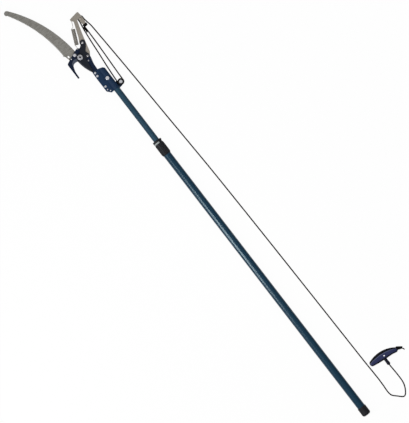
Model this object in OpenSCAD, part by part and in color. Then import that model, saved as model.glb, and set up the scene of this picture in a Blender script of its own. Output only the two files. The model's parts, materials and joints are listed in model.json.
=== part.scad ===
// Tree pruner pole: a two-stage telescopic pole that carries a rope-worked
// bypass cutter and a curved pruning saw, lying flat with its hook to the left.
// Lengths are in millimetres. Pieces are drawn about the pole's own axis:
// X along the pole towards the head, Y towards the saw, Z up. The last step of
// each piece moves it so that the origin is under the middle of the whole tool.

/* [Pole] */
// Outside diameter of the lower tube
lower_tube_od = 29; // [28:0.5:32]
// Outside diameter of the upper tube
upper_tube_od = 22; // [20:0.5:23]
// Wall of both tubes
tube_wall = 1.2; // [1:0.1:1.6]
// Length of the lower tube
lower_tube_len = 1211; // [1150:1:1500]
// Length of the upper tube
upper_tube_len = 1248; // [1000:1:1400]
// Length of upper tube drawn out between the lock and the head
drawn_out = 232; // [150:1:600]
// Length of upper tube held in the head's socket
tube_in_socket = 84; // [78:1:90]
// Length of the nylon bush on the upper tube's lower end
bush_len = 30; // [20:1:60]

/* [Twist lock] */
// Outside diameter of the lock
lock_od = 34.6; // [34:0.2:40]
// Length of the turning sleeve
sleeve_len = 48; // [35:1:80]
// Width of the pale C-shaped band
band_w = 5.5; // [3:0.5:8]
// Place across the lock where the band is open
band_open_y = -4.5; // [-8:0.5:0]
// Length of the rim above the band
rim_len = 7.5; // [6:0.5:15]
// Length of the slit fingers inside the lower tube
finger_len = 40; // [25:1:60]
// Number of grip ribs round the sleeve
rib_count = 18; // [10:1:24]
// How far the ribs stand out of the sleeve
rib_h = 0.8; // [0.5:0.1:1.2]
// Radius of a rib
rib_r = 1.1; // [0.9:0.1:1.2]

/* [End cap] */
// Outside diameter of the end cap
cap_od = 32.5; // [32:0.5:36]
// Length of the end cap
cap_len = 35; // [25:1:60]
// Thickness of the end cap's floor
cap_floor = 4; // [3:0.5:8]
// Corner radius of the end cap's floor
cap_corner = 8; // [3:0.5:10]

/* [Head plates] */
// Thickness of the hook frame
frame_t = 4; // [3:0.25:5]
// Thickness of the folded socket sheet
sheet_t = 1.5; // [1:0.1:2]
// Thickness of the cutter blade
blade_t = 3; // [2.5:0.25:4]
// Thickness of the lever
lever_t = 2; // [1.5:0.25:3]
// Thickness of the saw
saw_t = 1.5; // [1:0.1:2]
// Thickness of the lower pulley's bracket
bracket_t = 2.4; // [1.5:0.1:3]
// Length of the socket along the pole
socket_len = 96.5; // [92:0.5:110]
// Pivot bolt diameter
pivot_d = 10; // [8:0.5:11]
// Radius of the cutter's hub
hub_r = 14; // [12:0.5:14]

/* [Saw] */
// Radius of the saw's back
saw_back_r = 483; // [440:1:540]
// Length of the saw's back, from the frame to the tip
saw_back_len = 278; // [220:1:320]
// Radius of the toothed edge
saw_edge_r = 480; // [440:1:540]
// Width of the saw where it leaves the frame
saw_root_w = 43.3; // [40:0.1:46]
// Radius of the saw's tip
saw_tip_r = 9.4; // [7:0.2:11]
// Pitch of the saw teeth
tooth_pitch = 5; // [4:0.25:8]
// Depth of the saw teeth
tooth_depth = 2.6; // [1.5:0.1:4]

/* [Pulleys and rope] */
// Rope diameter
rope_d = 3.5; // [3:0.1:4]
// Rope-centre radius on the lower sheave
lower_pitch_r = 10.3; // [9.5:0.1:11]
// Rope-centre radius on the upper sheave
upper_pitch_r = 9.3; // [8.5:0.1:9.6]
// Height of a sheave's rim above the rope's centre
rim_h = 1.7; // [1:0.1:2]
// Width of both sheaves
sheave_w = 7.6; // [6.5:0.1:8]
// Diameter of the sheave axles
axle_d = 6; // [5:0.5:8]

/* [Return spring] */
// Outside diameter of the spring
spring_od = 13; // [9:0.5:14]
// Wire diameter of the spring
wire_d = 1.4; // [1:0.1:1.5]
// Number of curls in the spring
curl_count = 26; // [18:1:27]

/* [Pull handle] */
// Thickness of the handle
grip_t = 18; // [15:0.5:20]
// Radius of the handle's arched edge
grip_arch_r = 108.4; // [104:0.2:114]
// Diameter of the rope stem
stem_d = 10; // [8:0.5:12]
// Length of the rope stem below the handle
stem_len = 24; // [15:1:40]
// Diameter of the hole through the handle
grip_hole_d = 5.5; // [4:0.5:8]

/* [Fits] */
// Running clearance on radius
run_gap = 0.05; // [0.02:0.01:0.1]
// Clearance on radius of fixed fits
fit_gap = 0.05; // [0.02:0.01:0.2]
// Gap between flat faces that slide past each other
face_gap = 0.1; // [0.05:0.05:0.3]
// Gap between the lever and the frame
lever_gap = 0.6; // [0.4:0.1:1]
// Gap at each side of a sheave
sheave_gap = 0.4; // [0.3:0.1:0.8]
// Gap between the rope and the bottom of a sheave's groove
rope_gap = 0.3; // [0.2:0.05:0.5]

/* [Hidden] */
$fn = 96;
arc_step = 12;

// Places along the pole, from the socket's lower edge
socket_x = 14;
lock_top_x = socket_x - drawn_out;
rim_x = lock_top_x - rim_len;
band_x = rim_x - band_w;
butt_x = band_x - lower_tube_len - cap_floor;
upper_top_x = socket_x + tube_in_socket;
upper_low_x = upper_top_x - upper_tube_len;

// Radii on the pole
upper_r = upper_tube_od / 2;
lower_r = lower_tube_od / 2;
lower_bore_r = lower_r - tube_wall;
sleeve_in_r = upper_r + fit_gap;
sleeve_out_r = sleeve_in_r + sheet_t;
// Height of the pole's axis above the ground: the lock lies on it
axis_h = lock_od / 2;

// Levels across the head, from the pole's axis
frame_top = frame_t / 2;
flange_top = frame_top + sheet_t;
blade_z = frame_top + face_gap;
lever_z = frame_top + lever_gap;
lever_top = lever_z + lever_t;
arm_top = lever_top + blade_t;
sheave_top = lever_z - sheave_gap;
rope_z = sheave_top - sheave_w / 2;
sheave_low = sheave_top - sheave_w;
cheek_top = sheave_low - sheave_gap;
bracket_low = cheek_top - bracket_t;

// The shank's inner edge: everything on the head is placed from it
shank_y = upper_r + 0.6;
dy = shank_y - 11.6;
pivot = [181, 35 + dy];
saw_hole = [199, 46 + dy];
saw_pin = [195, 64 + dy];
arm_pin = [217, -3 + dy];
lobe_pin = [169, 10.5 + dy];
lower_axle = [25.5, -27.5 - dy];
upper_axle = [290, -50 + dy];
becket = [upper_axle[0] - upper_pitch_r - rim_h - 8, upper_axle[1]];
spring_frame = [208.5, 25 + dy];
spring_lever = [304, -20.5 + dy];
bolt_at = [63.5, 3];
flange_bolts_at = [[104.5, 27 + dy], [91, 27 + dy], [44, 27 + dy]];
flange_rivets_at = [[31.5, 27 + dy], [22, 21 + dy]];
frame_rivet_at = [154, 18.5 + dy];

// Fasteners
socket_bolt_d = 8;
flange_bolt_d = 5;
rivet_d = 4;
saw_bolt_d = 6;
pin_d = 6;
becket_d = 4;

// Small helpers on points
function unit(v) = v / norm(v);
function flat(p) = [p[0], p[1]];
function arc(c, r, a0, a1, n) =
    [for (i = [0:n]) c + r * [cos(a0 + (a1 - a0) * i / n), sin(a0 + (a1 - a0) * i / n)]];
// One corner of an outline as a tangent arc; p is [x, y, radius]
function corner(a, p, b) =
    let (d1 = unit(flat(a) - flat(p)), d2 = unit(flat(b) - flat(p)),
         half = acos(d1 * d2) / 2, c = flat(p) + unit(d1 + d2) * p[2] / sin(half),
         s = flat(p) + d1 * p[2] / tan(half),
         turn = (180 - 2 * half) * (d1[0] * d2[1] - d1[1] * d2[0] > 0 ? -1 : 1),
         a0 = atan2(s[1] - c[1], s[0] - c[0]))
    arc(c, p[2], a0, a0 + turn, max(2, ceil(abs(turn) / arc_step)));
// An outline with rounded corners from points [x, y, radius]
function rounded(p) =
    [for (i = [0:len(p) - 1])
        each (p[i][2] > 0
            ? corner(p[(i + len(p) - 1) % len(p)], p[i], p[(i + 1) % len(p)])
            : [flat(p[i])])];
// Moves an outline sideways with the head
function shifted(p) = [for (q = p) [q[0], q[1] + dy, q[2]]];

// A round tube swept along points, with rings carried without twist
function tangents(p) =
    [for (i = [0:len(p) - 1])
        unit(unit(p[min(i + 1, len(p) - 1)] - p[max(i, 0) == len(p) - 1 ? i - 1 : i])
            + unit(p[i == 0 ? 1 : i] - p[max(i - 1, 0)]))];
function normals(t, first) =
    [for (i = 0, n = unit(first - (first * t[0]) * t[0]); i < len(t);
          i = i + 1, n = i < len(t) ? unit(n - (n * t[i]) * t[i]) : n) n];
function tube_points(p, d, sides, first = [0, 0, 1]) =
    let (t = tangents(p), n = normals(t, first),
         ring = [for (k = [0:sides - 1]) 360 * (k + 0.5) / sides])
    [for (i = [0:len(p) - 1]) for (a = ring)
        p[i] + d / 2 * (cos(a) * n[i] + sin(a) * cross(t[i], n[i]))];
module tube(p, d, sides, first = [0, 0, 1]) {
    last = len(p) - 1;
    walls = [for (i = [0:last - 1]) for (k = [0:sides - 1])
        let (k2 = (k + 1) % sides, a = i * sides, b = a + sides)
        each [[a + k, b + k, b + k2], [a + k, b + k2, a + k2]]];
    caps = [for (k = [1:sides - 2]) each
        [[0, k, k + 1], [last * sides, last * sides + k + 1, last * sides + k]]];
    polyhedron(tube_points(p, d, sides, first), concat(walls, caps), convexity = 10);
}

// Pull handle, placed from the ground and the butt
grip_z = -axis_h + grip_t / 2;
grip_r = grip_t / 2;
grip_arch_c = [-1405, -160.6];
stem_y = -171;
stem_top_x = -1326;
stem_x = stem_top_x - stem_len - 2;
grip_hole_at = [-1316.5, -175];
grip_low = [[-1313.5, -124.2, 8.5], [-1318.4, -168, grip_r], [-1319.4, -200, grip_r],
    [-1324.4, -219, 8.5], [-1323.6, -225.6, 5]];
hitch_r = 4.3;
hitch_from = [-1322.6, -225.8];
hitch_to = [-1330.6, -241.4];
tail_route = [[-1330, -239.6, grip_z], [-1334.5, -242.8, grip_z - 2],
    [-1339, -245, grip_z - 5], [-1343, -246.6, grip_z - 7]];
tail_d = 3;
rope_sides = 8;

// Route of the working rope, from the becket down, up and out to the handle
floor_z = -axis_h + rope_d / 2;
inner_route = [[lower_axle[0], lower_axle[1] + lower_pitch_r], [36, -17.2], [60, -18.6],
    [100, -21.6], [150, -26.2], [200, -30.4], [250, -35.4], [255.8, -36.37]];
lead_in = [[256.2, -36.43], [274, -39.4], [282, upper_axle[1] + upper_pitch_r]];
outer_route = [[lower_axle[0], lower_axle[1] - lower_pitch_r], [36, -37.8], [60, -38.4],
    [100, -40], [150, -42], [200, -43.6], [240, -44.2], [256.4, -44.2]];
top_route = [[upper_axle[0], upper_axle[1] - upper_pitch_r, rope_z],
    [upper_axle[0] - 8, upper_axle[1] - upper_pitch_r, rope_z], [266, -61.8, rope_z - 0.6],
    [250, -65, rope_z - 1.4], [200, -67.8, -5], [150, -70.2, -8], [120, -71.6, -9.7],
    [100, -72.5, -10.8], [80, -73.4, -11.9], [45, -74.8, -13.4], [27.5, -75.5, -14.15],
    [-30, -77.6, floor_z], [-146, -81.6, floor_z], [-279.8, -86.8, floor_z]];
main_route = [[-280.2, -86.8, floor_z], [-411, -91.5, floor_z],
    [-600, -96, floor_z], [-800, -99.8, floor_z], [-1000, -103, floor_z],
    [-1150, -105.2, floor_z], [-1250, -106.6, floor_z], [-1300, -107.4, floor_z],
    [-1340, -108.6, floor_z], [-1350, -108.8, floor_z]];
loop_route = [[-1350, -108.8, floor_z], [-1370, -109.2, floor_z], [-1400, -108.6, floor_z],
    [-1425, -107.4, floor_z], [-1438, -108.8, floor_z], [-1446.4, -112.6, floor_z],
    [-1461, -127, floor_z], [-1471.6, -138, floor_z], [-1474.6, -144.4, floor_z],
    [-1472, -151, floor_z], [-1461, -160, floor_z], [-1445, -168, floor_z],
    [-1430, -171.6, floor_z], [-1410, -172.6, -14], [-1390, -172.2, -11.4],
    [-1370, -171.4, -9.2], [-1360, -171, grip_z], [stem_x, -171, grip_z]];
function at_rope_level(p) = [for (q = p) [q[0], q[1], rope_z]];
// The rope on a sheave: an arc whose ends lie square to the straight runs
function turn_points(c, r, a0, a1) =
    let (p = arc(c, r, a0, a1, 12), lead = 0.5 * [sign(a0 - a1), 0])
    at_rope_level(concat([p[0], p[0] + lead], [for (i = [1:11]) p[i]], [p[12] + lead, p[12]]));

// Saw outline, from the circles of its back and its toothed edge
saw_root = [215, 37 + dy];
saw_back_a0 = -84.4;
saw_back_c = saw_root - saw_back_r * [cos(saw_back_a0), sin(saw_back_a0)];
saw_back_a1 = saw_back_a0 + saw_back_len / saw_back_r * 180 / PI;
saw_edge_a0 = -87.8;
saw_edge_c = saw_root + [5, saw_root_w] - saw_edge_r * [cos(saw_edge_a0), sin(saw_edge_a0)];
saw_tip_c = saw_back_c + (saw_back_r - saw_tip_r) * [cos(saw_back_a1), sin(saw_back_a1)];
saw_tip_off = saw_tip_c - saw_edge_c;
saw_edge_a1 = atan2(saw_tip_off[1], saw_tip_off[0]) - 0.9;
tooth_angle = tooth_pitch / saw_edge_r * 180 / PI;
tooth_count = floor((saw_edge_a1 - saw_edge_a0) / tooth_angle);
function saw_edge(a, depth) = saw_edge_c + (saw_edge_r + depth) * [cos(a), sin(a)];
saw_teeth = [for (i = [0:tooth_count - 1])
    let (a = saw_edge_a1 - (i + 1) * tooth_angle)
    each [saw_edge(a + 0.95 * tooth_angle, tooth_depth), saw_edge(a + 0.35 * tooth_angle, 0),
          saw_edge(a + 0.15 * tooth_angle, tooth_depth)]];
saw_spur = saw_edge(saw_edge_a0, 0) + [1, 3];
saw_tang = rounded([[saw_spur[0] - 6, saw_spur[1] - 7, 0], [200, 72.5 + dy, 8],
    [188, 70 + dy, 4], [188.5, 52 + dy, 12], [193, 38.5 + dy, 4], [205, 36.8 + dy, 0]]);
saw_outline = concat(
    arc(saw_back_c, saw_back_r, saw_back_a0, saw_back_a1, 24),
    arc(saw_tip_c, saw_tip_r, saw_back_a1, saw_edge_a1 + 180, 10),
    saw_teeth, [saw_edge(saw_edge_a0, tooth_depth), saw_spur], saw_tang);

// Middle of the whole tool without the rope, seen from above
function span_mid(a, b) = (a + b) / 2;
mid_x = span_mid(butt_x, max([for (p = saw_outline) p[0]]));
mid_y = span_mid(min([for (p = tube_points(tail_route, tail_d, rope_sides)) p[1]]),
    max([for (p = saw_outline) p[1]]));
module placed() { translate([-mid_x, -mid_y, axis_h]) children(); }

// Solids that repeat
module plate(z0, z1) { translate([0, 0, z0]) linear_extrude(z1 - z0) children(); }
module post(p, z0, z1, r) { translate([p[0], p[1], z0]) cylinder(h = z1 - z0, r = r); }
module hex(p, z0, z1, flats) {
    translate([p[0], p[1], z0]) cylinder(h = z1 - z0, d = flats / cos(30), $fn = 6);
}
module along_x(x0, x1) { translate([x0, 0, 0]) rotate([90, 0, 90]) linear_extrude(x1 - x0) children(); }
// A turned piece on the pole's axis from points [radius, x]
module turned(points) { rotate([0, 90, 0]) rotate_extrude() polygon(points); }
module pipe(x0, x1, ro, ri) { turned([[ri, x0], [ro, x0], [ro, x1], [ri, x1]]); }
// A domed rivet head standing on z, pointing up or down
module dome(p, z, r, h, up = 1) {
    rise = r * r / (2 * h) + h / 2;
    translate([p[0], p[1], z]) mirror([0, 0, up > 0 ? 0 : 1]) intersection() {
        translate([0, 0, h - rise]) sphere(r = rise);
        cylinder(h = h, r = r);
    }
}
// A hexagon head with a turned chamfer
module hex_head(p, z0, z1, flats, up = 1) {
    h = z1 - z0;
    corner_r = flats / sqrt(3);
    intersection() {
        hex(p, z0, z1, flats);
        translate([p[0], p[1], up > 0 ? z0 : z1]) mirror([0, 0, up > 0 ? 0 : 1]) rotate_extrude()
            polygon([[0, 0], [corner_r, 0], [corner_r, h * 0.75], [flats * 0.46, h], [0, h]]);
    }
}
// A grooved rope wheel on a vertical axle
module sheave(c, pitch_r, bore_r) {
    w = sheave_w / 2;
    out_r = pitch_r + rim_h;
    low_r = pitch_r - rope_d / 2 - rope_gap;
    groove = rope_d / 2 + rope_gap;
    translate([c[0], c[1], rope_z]) rotate_extrude() polygon([
        [bore_r, -w], [low_r - 2, -w], [low_r - 1.4, -w + 0.6], [out_r - 1.6, -w + 0.6],
        [out_r - 0.6, -w], [out_r, -w + 0.5], [out_r, -groove - 0.9],
        [out_r - 0.4, -groove - 0.4], [pitch_r, -groove], [low_r, -groove * 0.5],
        [low_r, groove * 0.5], [pitch_r, groove], [out_r - 0.4, groove + 0.4],
        [out_r, groove + 0.9], [out_r, w - 0.5], [out_r - 0.6, w],
        [out_r - 1.6, w - 0.6], [low_r - 1.4, w - 0.6], [low_r - 2, w], [bore_r, w]]);
}

// Lower pole
module lower_tube() {
    color("#24455c") placed() pipe(butt_x + cap_floor, band_x, lower_r, lower_bore_r);
}
module end_cap() {
    r = cap_od / 2;
    round = arc([butt_x + cap_corner, r - cap_corner], cap_corner, 180, 90, 8);
    bore = lower_r + fit_gap;
    mouth = butt_x + cap_len;
    color("#1c1c20") placed() difference() {
        turned(concat([[0, butt_x]], [for (p = round) [p[1], p[0]]],
            [[r, mouth - 1], [r - 1, mouth], [bore, mouth],
             [bore, butt_x + cap_floor], [0, butt_x + cap_floor]]));
        for (i = [0:2]) translate([mouth - 6 - 5 * i, 0, 0]) rotate([0, 90, 0])
            rotate_extrude() translate([r + 0.4, 0]) circle(r = 1);
    }
}
module lock_body() {
    ri = upper_r + run_gap;
    ro = lower_bore_r - fit_gap;
    seat = lower_r + 0.9;
    low = band_x - finger_len;
    color("#1e1e22") placed() difference() {
        turned([[ri, low], [ro - 0.6, low], [ro, low + 1], [ro, band_x], [seat, band_x], [seat, rim_x],
            [axis_h, rim_x], [axis_h, lock_top_x - 1.2], [axis_h - 1.2, lock_top_x], [ri, lock_top_x]]);
        for (a = [0:60:120]) rotate([a, 0, 0])
            translate([low - 1, -lower_r, -1]) cube([finger_len - 5, 2 * lower_r, 2]);
    }
}
module lock_band() {
    seat = lower_r + 0.9 + fit_gap;
    color("#b4b8b8") placed() difference() {
        turned([[seat, band_x], [axis_h - 0.5, band_x], [axis_h - 0.1, band_x + 0.8],
            [axis_h - 0.1, rim_x - 0.8], [axis_h - 0.5, rim_x], [seat, rim_x]]);
        translate([band_x - 1, band_open_y - 2 * axis_h, -axis_h]) cube([band_w + 2, 2 * axis_h, 2 * axis_h]);
    }
}
module lock_sleeve() {
    top = band_x - 0.3;
    low = top - sleeve_len;
    r = axis_h - rib_h;
    bore = lower_r + run_gap;
    color("#232327") placed() {
        turned([[bore, low], [bore + 0.7, low], [r - 0.3, low + 2], [r, low + 3],
            [r, top - 1], [r - 1, top], [bore, top]]);
        along_x(low + 5, top - 4) for (i = [0:rib_count - 1]) rotate(360 * (i + 0.5) / rib_count - 90)
            translate([axis_h - rib_r, 0]) circle(r = rib_r);
    }
}

// Upper pole and socket
module upper_tube() {
    color("#1f4152") placed() difference() {
        pipe(upper_low_x, upper_top_x, upper_r, upper_r - tube_wall);
        post(bolt_at, -upper_r - 1, upper_r + 1, socket_bolt_d / 2 + fit_gap);
    }
}
module glide_bush() {
    ro = lower_bore_r - 2 * run_gap;
    low = upper_low_x - 2;
    color("#d8d8d0") placed() difference() {
        turned([[upper_r - tube_wall - 1, low], [ro - 1, low], [ro, low + 1], [ro, low + bush_len - 1],
            [ro - 1, low + bush_len], [upper_r + fit_gap, low + bush_len],
            [upper_r + fit_gap, upper_low_x], [upper_r - tube_wall - 1, upper_low_x]]);
        translate([low - 1, -0.75, 0]) cube([bush_len + 2, 1.5, lower_r]);
    }
}
module socket_outline() {
    top = socket_x + socket_len;
    polygon(rounded([[socket_x, -sleeve_out_r - 2, 0], [top - 14, -sleeve_out_r - 2, 0],
        [top - 5.5, -6, 6], [top, 11 + dy, 5], [top, 33.8 + dy, 2], [top - 24.5, 34.8 + dy, 20],
        [28, 34.8 + dy, 6], [socket_x, 22.5 + dy, 5]]));
}
module socket_section() {
    difference() {
        union() {
            circle(r = sleeve_out_r);
            translate([0, -flange_top]) square([50, 2 * flange_top]);
        }
        circle(r = sleeve_in_r);
        translate([0, -frame_top]) square([60, 2 * frame_top]);
    }
}
module socket() {
    color("#22304f") placed() difference() {
        intersection() {
            along_x(socket_x, socket_x + socket_len) socket_section();
            plate(-20, 20) socket_outline();
        }
        post(bolt_at, -20, 20, socket_bolt_d / 2 + fit_gap);
        for (p = flange_bolts_at) post(p, -20, 20, flange_bolt_d / 2 + fit_gap);
        for (p = flange_rivets_at) post(p, -20, 20, rivet_d / 2 + fit_gap);
    }
}
module socket_bolt() {
    seat = sleeve_out_r + 0.05;
    color("#c4c8cc") placed() {
        post(bolt_at, -seat - 2, seat, socket_bolt_d / 2);
        hex_head(bolt_at, seat, seat + 4.4, 13);
    }
}
module socket_nut() {
    seat = -sleeve_out_r - 0.05;
    color("#c4c8cc") placed() difference() {
        hex_head(bolt_at, seat - 4, seat, 13, -1);
        post(bolt_at, seat - 2 - 0.2, seat + 1, socket_bolt_d / 2 + fit_gap);
    }
}
module flange_bolts() {
    color("#c4c8cc") placed() for (p = flange_bolts_at) {
        post(p, -flange_top - 6, flange_top, flange_bolt_d / 2);
        hex_head(p, flange_top, flange_top + 3.5, 8);
    }
}
module flange_nuts() {
    color("#c4c8cc") placed() for (p = flange_bolts_at) difference() {
        hex_head(p, -flange_top - 4, -flange_top, 8, -1);
        post(p, -flange_top - 5, -flange_top + 1, flange_bolt_d / 2 + fit_gap);
    }
}
// A rivet with a domed head above and below
module rivet(p, low, high, r, head_r) {
    post(p, low, high, r);
    dome(p, high, head_r, head_r * 0.45);
    dome(p, low, head_r, head_r * 0.45, -1);
}
module flange_rivets() {
    color("#b9bdc4") placed() for (p = flange_rivets_at) rivet(p, -flange_top, flange_top, rivet_d / 2, 3);
}

// Hook frame with its shank, throat and hook
module frame_outline() {
    polygon(rounded(shifted([[16, 11.6, 2], [112, 11.6, 40], [136, 10, 60], [158, 4, 20], [173, 2.5, 5],
        [190, 9, 20], [207.5, 16, 4], [213.5, 26, 3], [208.5, 41, 25], [200, 60, 60], [195, 72, 30],
        [188, 87, 9], [124, 87, 3], [124, 80.8, 3], [152, 80, 60], [176.8, 70.5, 13], [175, 50, 8],
        [150, 40.5, 40], [125, 35, 40], [112, 33.4, 20], [29, 33.4, 5], [16, 22, 4]])));
}
// The ground bevel round the top of the throat, where the hook meets the blade
module throat_bevel() {
    depth = 1.3;
    centre = [166, 57 + dy];
    intersection() {
        translate([centre[0], centre[1], frame_top - depth]) cylinder(h = depth, r1 = 11, r2 = 21);
        translate([centre[0], centre[1] - 12, 0]) cube([30, 22, frame_t]);
    }
}
module hook_frame() {
    color("#22304f") placed() difference() {
        plate(-frame_top, frame_top) frame_outline();
        throat_bevel();
        post(pivot, -20, 20, pivot_d / 2 + fit_gap);
        post(saw_hole, -20, 20, saw_bolt_d / 2 + fit_gap);
        post(saw_pin, -20, 20, rivet_d / 2 + fit_gap);
        post(frame_rivet_at, -20, 20, rivet_d / 2 + fit_gap);
        post(spring_frame, -20, 20, wire_d / 2 + 0.4);
        for (p = flange_bolts_at) post(p, -20, 20, flange_bolt_d / 2 + fit_gap);
        for (p = flange_rivets_at) post(p, -20, 20, rivet_d / 2 + fit_gap);
    }
}
module frame_rivet() {
    color("#b9bdc4") placed() {
        post(frame_rivet_at, -frame_top, frame_top, rivet_d / 2);
        post(frame_rivet_at, frame_top, frame_top + 0.2, 2.75);
        dome(frame_rivet_at, -frame_top, 2.9, 1.2, -1);
    }
}
module pivot_bolt() {
    head = arm_top + face_gap + 1.5;
    recess = 8;
    color("#c9ccd2") placed() difference() {
        union() {
            post(pivot, -axis_h + 0.6, head, pivot_d / 2);
            translate([pivot[0], pivot[1], -axis_h])
                cylinder(h = 0.6, r1 = pivot_d / 2 - 0.6, r2 = pivot_d / 2);
            translate([pivot[0], pivot[1], head]) rotate_extrude() polygon([[0, 0], [8.2, 0], [8.8, 0.6],
                [8.8, 2.6], [8.2, 4], [7, 5], [0, 5]]);
        }
        hex(pivot, head + 1.8, head + 6, recess);
    }
}
module pivot_washers() {
    color("#aeb2b8") placed() for (z = [arm_top + face_gap, -frame_top - 1.5])
        difference() {
            post(pivot, z, z + 1.5, 9.8);
            post(pivot, z - 1, z + 3, pivot_d / 2 + fit_gap);
        }
}
module pivot_nut() {
    seat = -frame_top - 1.5;
    color("#aeb2b8") placed() difference() {
        hex_head(pivot, seat - 8.4, seat, 17, -1);
        post(pivot, seat - 9, seat + 1, pivot_d / 2 + fit_gap);
    }
}

// Saw and its fixings
module saw_blade() {
    slot = saw_root + [-8, 30];
    color("#8b8a85") placed() difference() {
        plate(-frame_top - saw_t, -frame_top) polygon(saw_outline);
        post(saw_hole, -20, 20, saw_bolt_d / 2 + fit_gap);
        post(saw_pin, -20, 20, rivet_d / 2 + fit_gap);
        plate(-20, 20) union() {
            for (i = [-1, 1]) translate(slot + [1.5 * i, 0]) circle(r = 2.9);
            translate(slot - [1.5, 2.9]) square([3, 5.8]);
        }
    }
}
module saw_bolt() {
    color("#c9ccd2") placed() {
        post(saw_hole, -frame_top - saw_t - 6, frame_top, saw_bolt_d / 2);
        hex_head(saw_hole, frame_top, frame_top + 4, 10);
        post(saw_hole, frame_top, frame_top + 0.9, 6);
    }
}
module saw_nut() {
    seat = -frame_top - saw_t;
    color("#aeb2b8") placed() difference() {
        hex_head(saw_hole, seat - 5, seat, 10, -1);
        post(saw_hole, seat - 6, seat + 1, saw_bolt_d / 2 + fit_gap);
    }
}
module saw_rivet() {
    color("#b9bdc4") placed() rivet(saw_pin, -frame_top - saw_t, frame_top, rivet_d / 2, 2.8);
}

// Lower pulley on its bracket
module pulley_bracket() {
    x = lower_axle[0];
    y = lower_axle[1];
    color("#22304f") placed() difference() {
        plate(bracket_low, cheek_top) polygon(rounded([[socket_x - 4.5, -9 - dy, 1], [x + 13, -9 - dy, 1],
            [x + 9.5, y + 8.5, 5], [x + 9.5, y - 2, 5], [x + 5, y - 11, 5], [x - 8, y - 11, 6],
            [x - 14, y + 6, 10]]));
        along_x(socket_x - 10, socket_x + 60) circle(r = sleeve_out_r + fit_gap);
        post(lower_axle, -30, 20, axle_d / 2 + fit_gap);
    }
}
module pulley_bolt() {
    head = sheave_top + sheave_gap;
    color("#c9ccd2") placed() {
        post(lower_axle, bracket_low - 6, head, axle_d / 2);
        post(lower_axle, head, head + 1, 6);
        hex_head(lower_axle, head + 1, head + 5, 9.6);
    }
}
module pulley_nut() {
    color("#aeb2b8") placed() difference() {
        hex_head(lower_axle, bracket_low - 5, bracket_low, 10, -1);
        post(lower_axle, bracket_low - 6, bracket_low + 1, axle_d / 2 + fit_gap);
    }
}
module lower_sheave() { color("#17171a") placed() sheave(lower_axle, lower_pitch_r, axle_d / 2 + run_gap); }
module rope_lower_turn() {
    color("#28282a") placed() tube(turn_points(lower_axle, lower_pitch_r, 90, 270), rope_d, rope_sides);
}

// Cutter: blade, lever and what they carry
module cutting_outline() {
    heel = pivot + [-5, 16];
    tip = pivot + [-68.6, -2];
    edge_r = 150;
    mid = (heel + tip) / 2;
    across = unit([tip[1] - heel[1], heel[0] - tip[0]]);
    half = norm(tip - heel) / 2;
    centre = mid - across * sqrt(edge_r * edge_r - half * half);
    a0 = atan2(heel[1] - centre[1], heel[0] - centre[0]);
    a1 = atan2(tip[1] - centre[1], tip[0] - centre[0]);
    polygon(concat(arc(centre, edge_r, a0, a1, 12),
        [pivot + [-67.5, -4.5], pivot + [-62, -8], pivot + [-16, -13], pivot + [-8, -hub_r + 4],
         pivot + [8, hub_r - 5]]));
    translate(pivot) circle(r = hub_r);
}
module arm_outline() {
    translate(pivot) circle(r = hub_r);
    translate(arm_pin) circle(r = 10.5);
    translate(lobe_pin) circle(r = 8);
    polygon([pivot + [11, -8], pivot + [24, -15.5], arm_pin + [-2, 10], arm_pin + [-1, -10],
        arm_pin + [-12, -6], arm_pin + [-22, 3], arm_pin + [-32, 10], lobe_pin + [2, -7.6],
        lobe_pin + [-7.6, 2], pivot + [-12.5, -5.5]]);
}
module cutter_blade() {
    color("#141416") placed() difference() {
        union() {
            plate(blade_z, blade_z + blade_t) cutting_outline();
            plate(blade_z, arm_top) translate(pivot) circle(r = hub_r);
            plate(lever_top, arm_top) arm_outline();
        }
        post(pivot, -20, 20, pivot_d / 2 + run_gap);
        post(arm_pin, -20, 20, pin_d / 2 + fit_gap);
        post(lobe_pin, -20, 20, pin_d / 2 + fit_gap);
    }
}
// Corners of an outline, given from a hole of the plate, each with its radius
function corners(p, list) = [for (q = list) [p[0] + q[0], p[1] + q[1], q[2]]];
module lever_outline() {
    polygon(rounded(concat(
        corners(lobe_pin, [[8, -16, 5], [-6.5, -5.5, 6], [-5, 7, 6], [11, 3.5, 20]]),
        corners(arm_pin, [[-14, 9, 20], [7, 8.5, 10], [24, -0.2, 60]]),
        corners(spring_lever, [[-42, 9.5, 60], [-8, -3.5, 5], [-2, 4, 3], [5.5, 3.5, 3]]),
        corners(upper_axle, [[23.5, 9, 60], [25.5, -6, 4], [10, -8, 8], [-16, -7.5, 4]]),
        corners(becket, [[-4, -5, 3], [-4, 5, 3]]),
        corners(upper_axle, [[-16, 7.5, 4], [4, 7.5, 2], [4, 12.5, 2], [-28, 22.5, 60]]),
        corners(arm_pin, [[5, -13.2, 60]]))));
}
module block_outline() {
    polygon(rounded(concat(
        corners(upper_axle, [[22.5, 8, 0], [24, -5.5, 0], [10, -8, 5], [-16, -7.5, 4]]),
        corners(becket, [[-4, -5, 3], [-4, 5, 3]]),
        corners(upper_axle, [[-16, 7.5, 4], [10, 8, 5]]))));
}
module lever() {
    x = upper_axle[0];
    y = upper_axle[1];
    fold = [[x + 20.5, y + 8], [x + 22.5, y + 8], [x + 24, y - 5.5], [x + 22, y - 5.5]];
    color("#a59e96") placed() difference() {
        union() {
            plate(lever_z, lever_top) lever_outline();
            plate(cheek_top - lever_t, cheek_top) block_outline();
            plate(cheek_top - lever_t, lever_top) polygon(fold);
        }
        post(arm_pin, -20, 20, pin_d / 2 + fit_gap);
        post(lobe_pin, -20, 20, pin_d / 2 + fit_gap);
        post(upper_axle, -20, 20, axle_d / 2 + fit_gap);
        post(becket, -20, 20, becket_d / 2 + fit_gap);
        post(spring_lever, -20, 20, wire_d / 2 + 0.4);
    }
}
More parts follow.
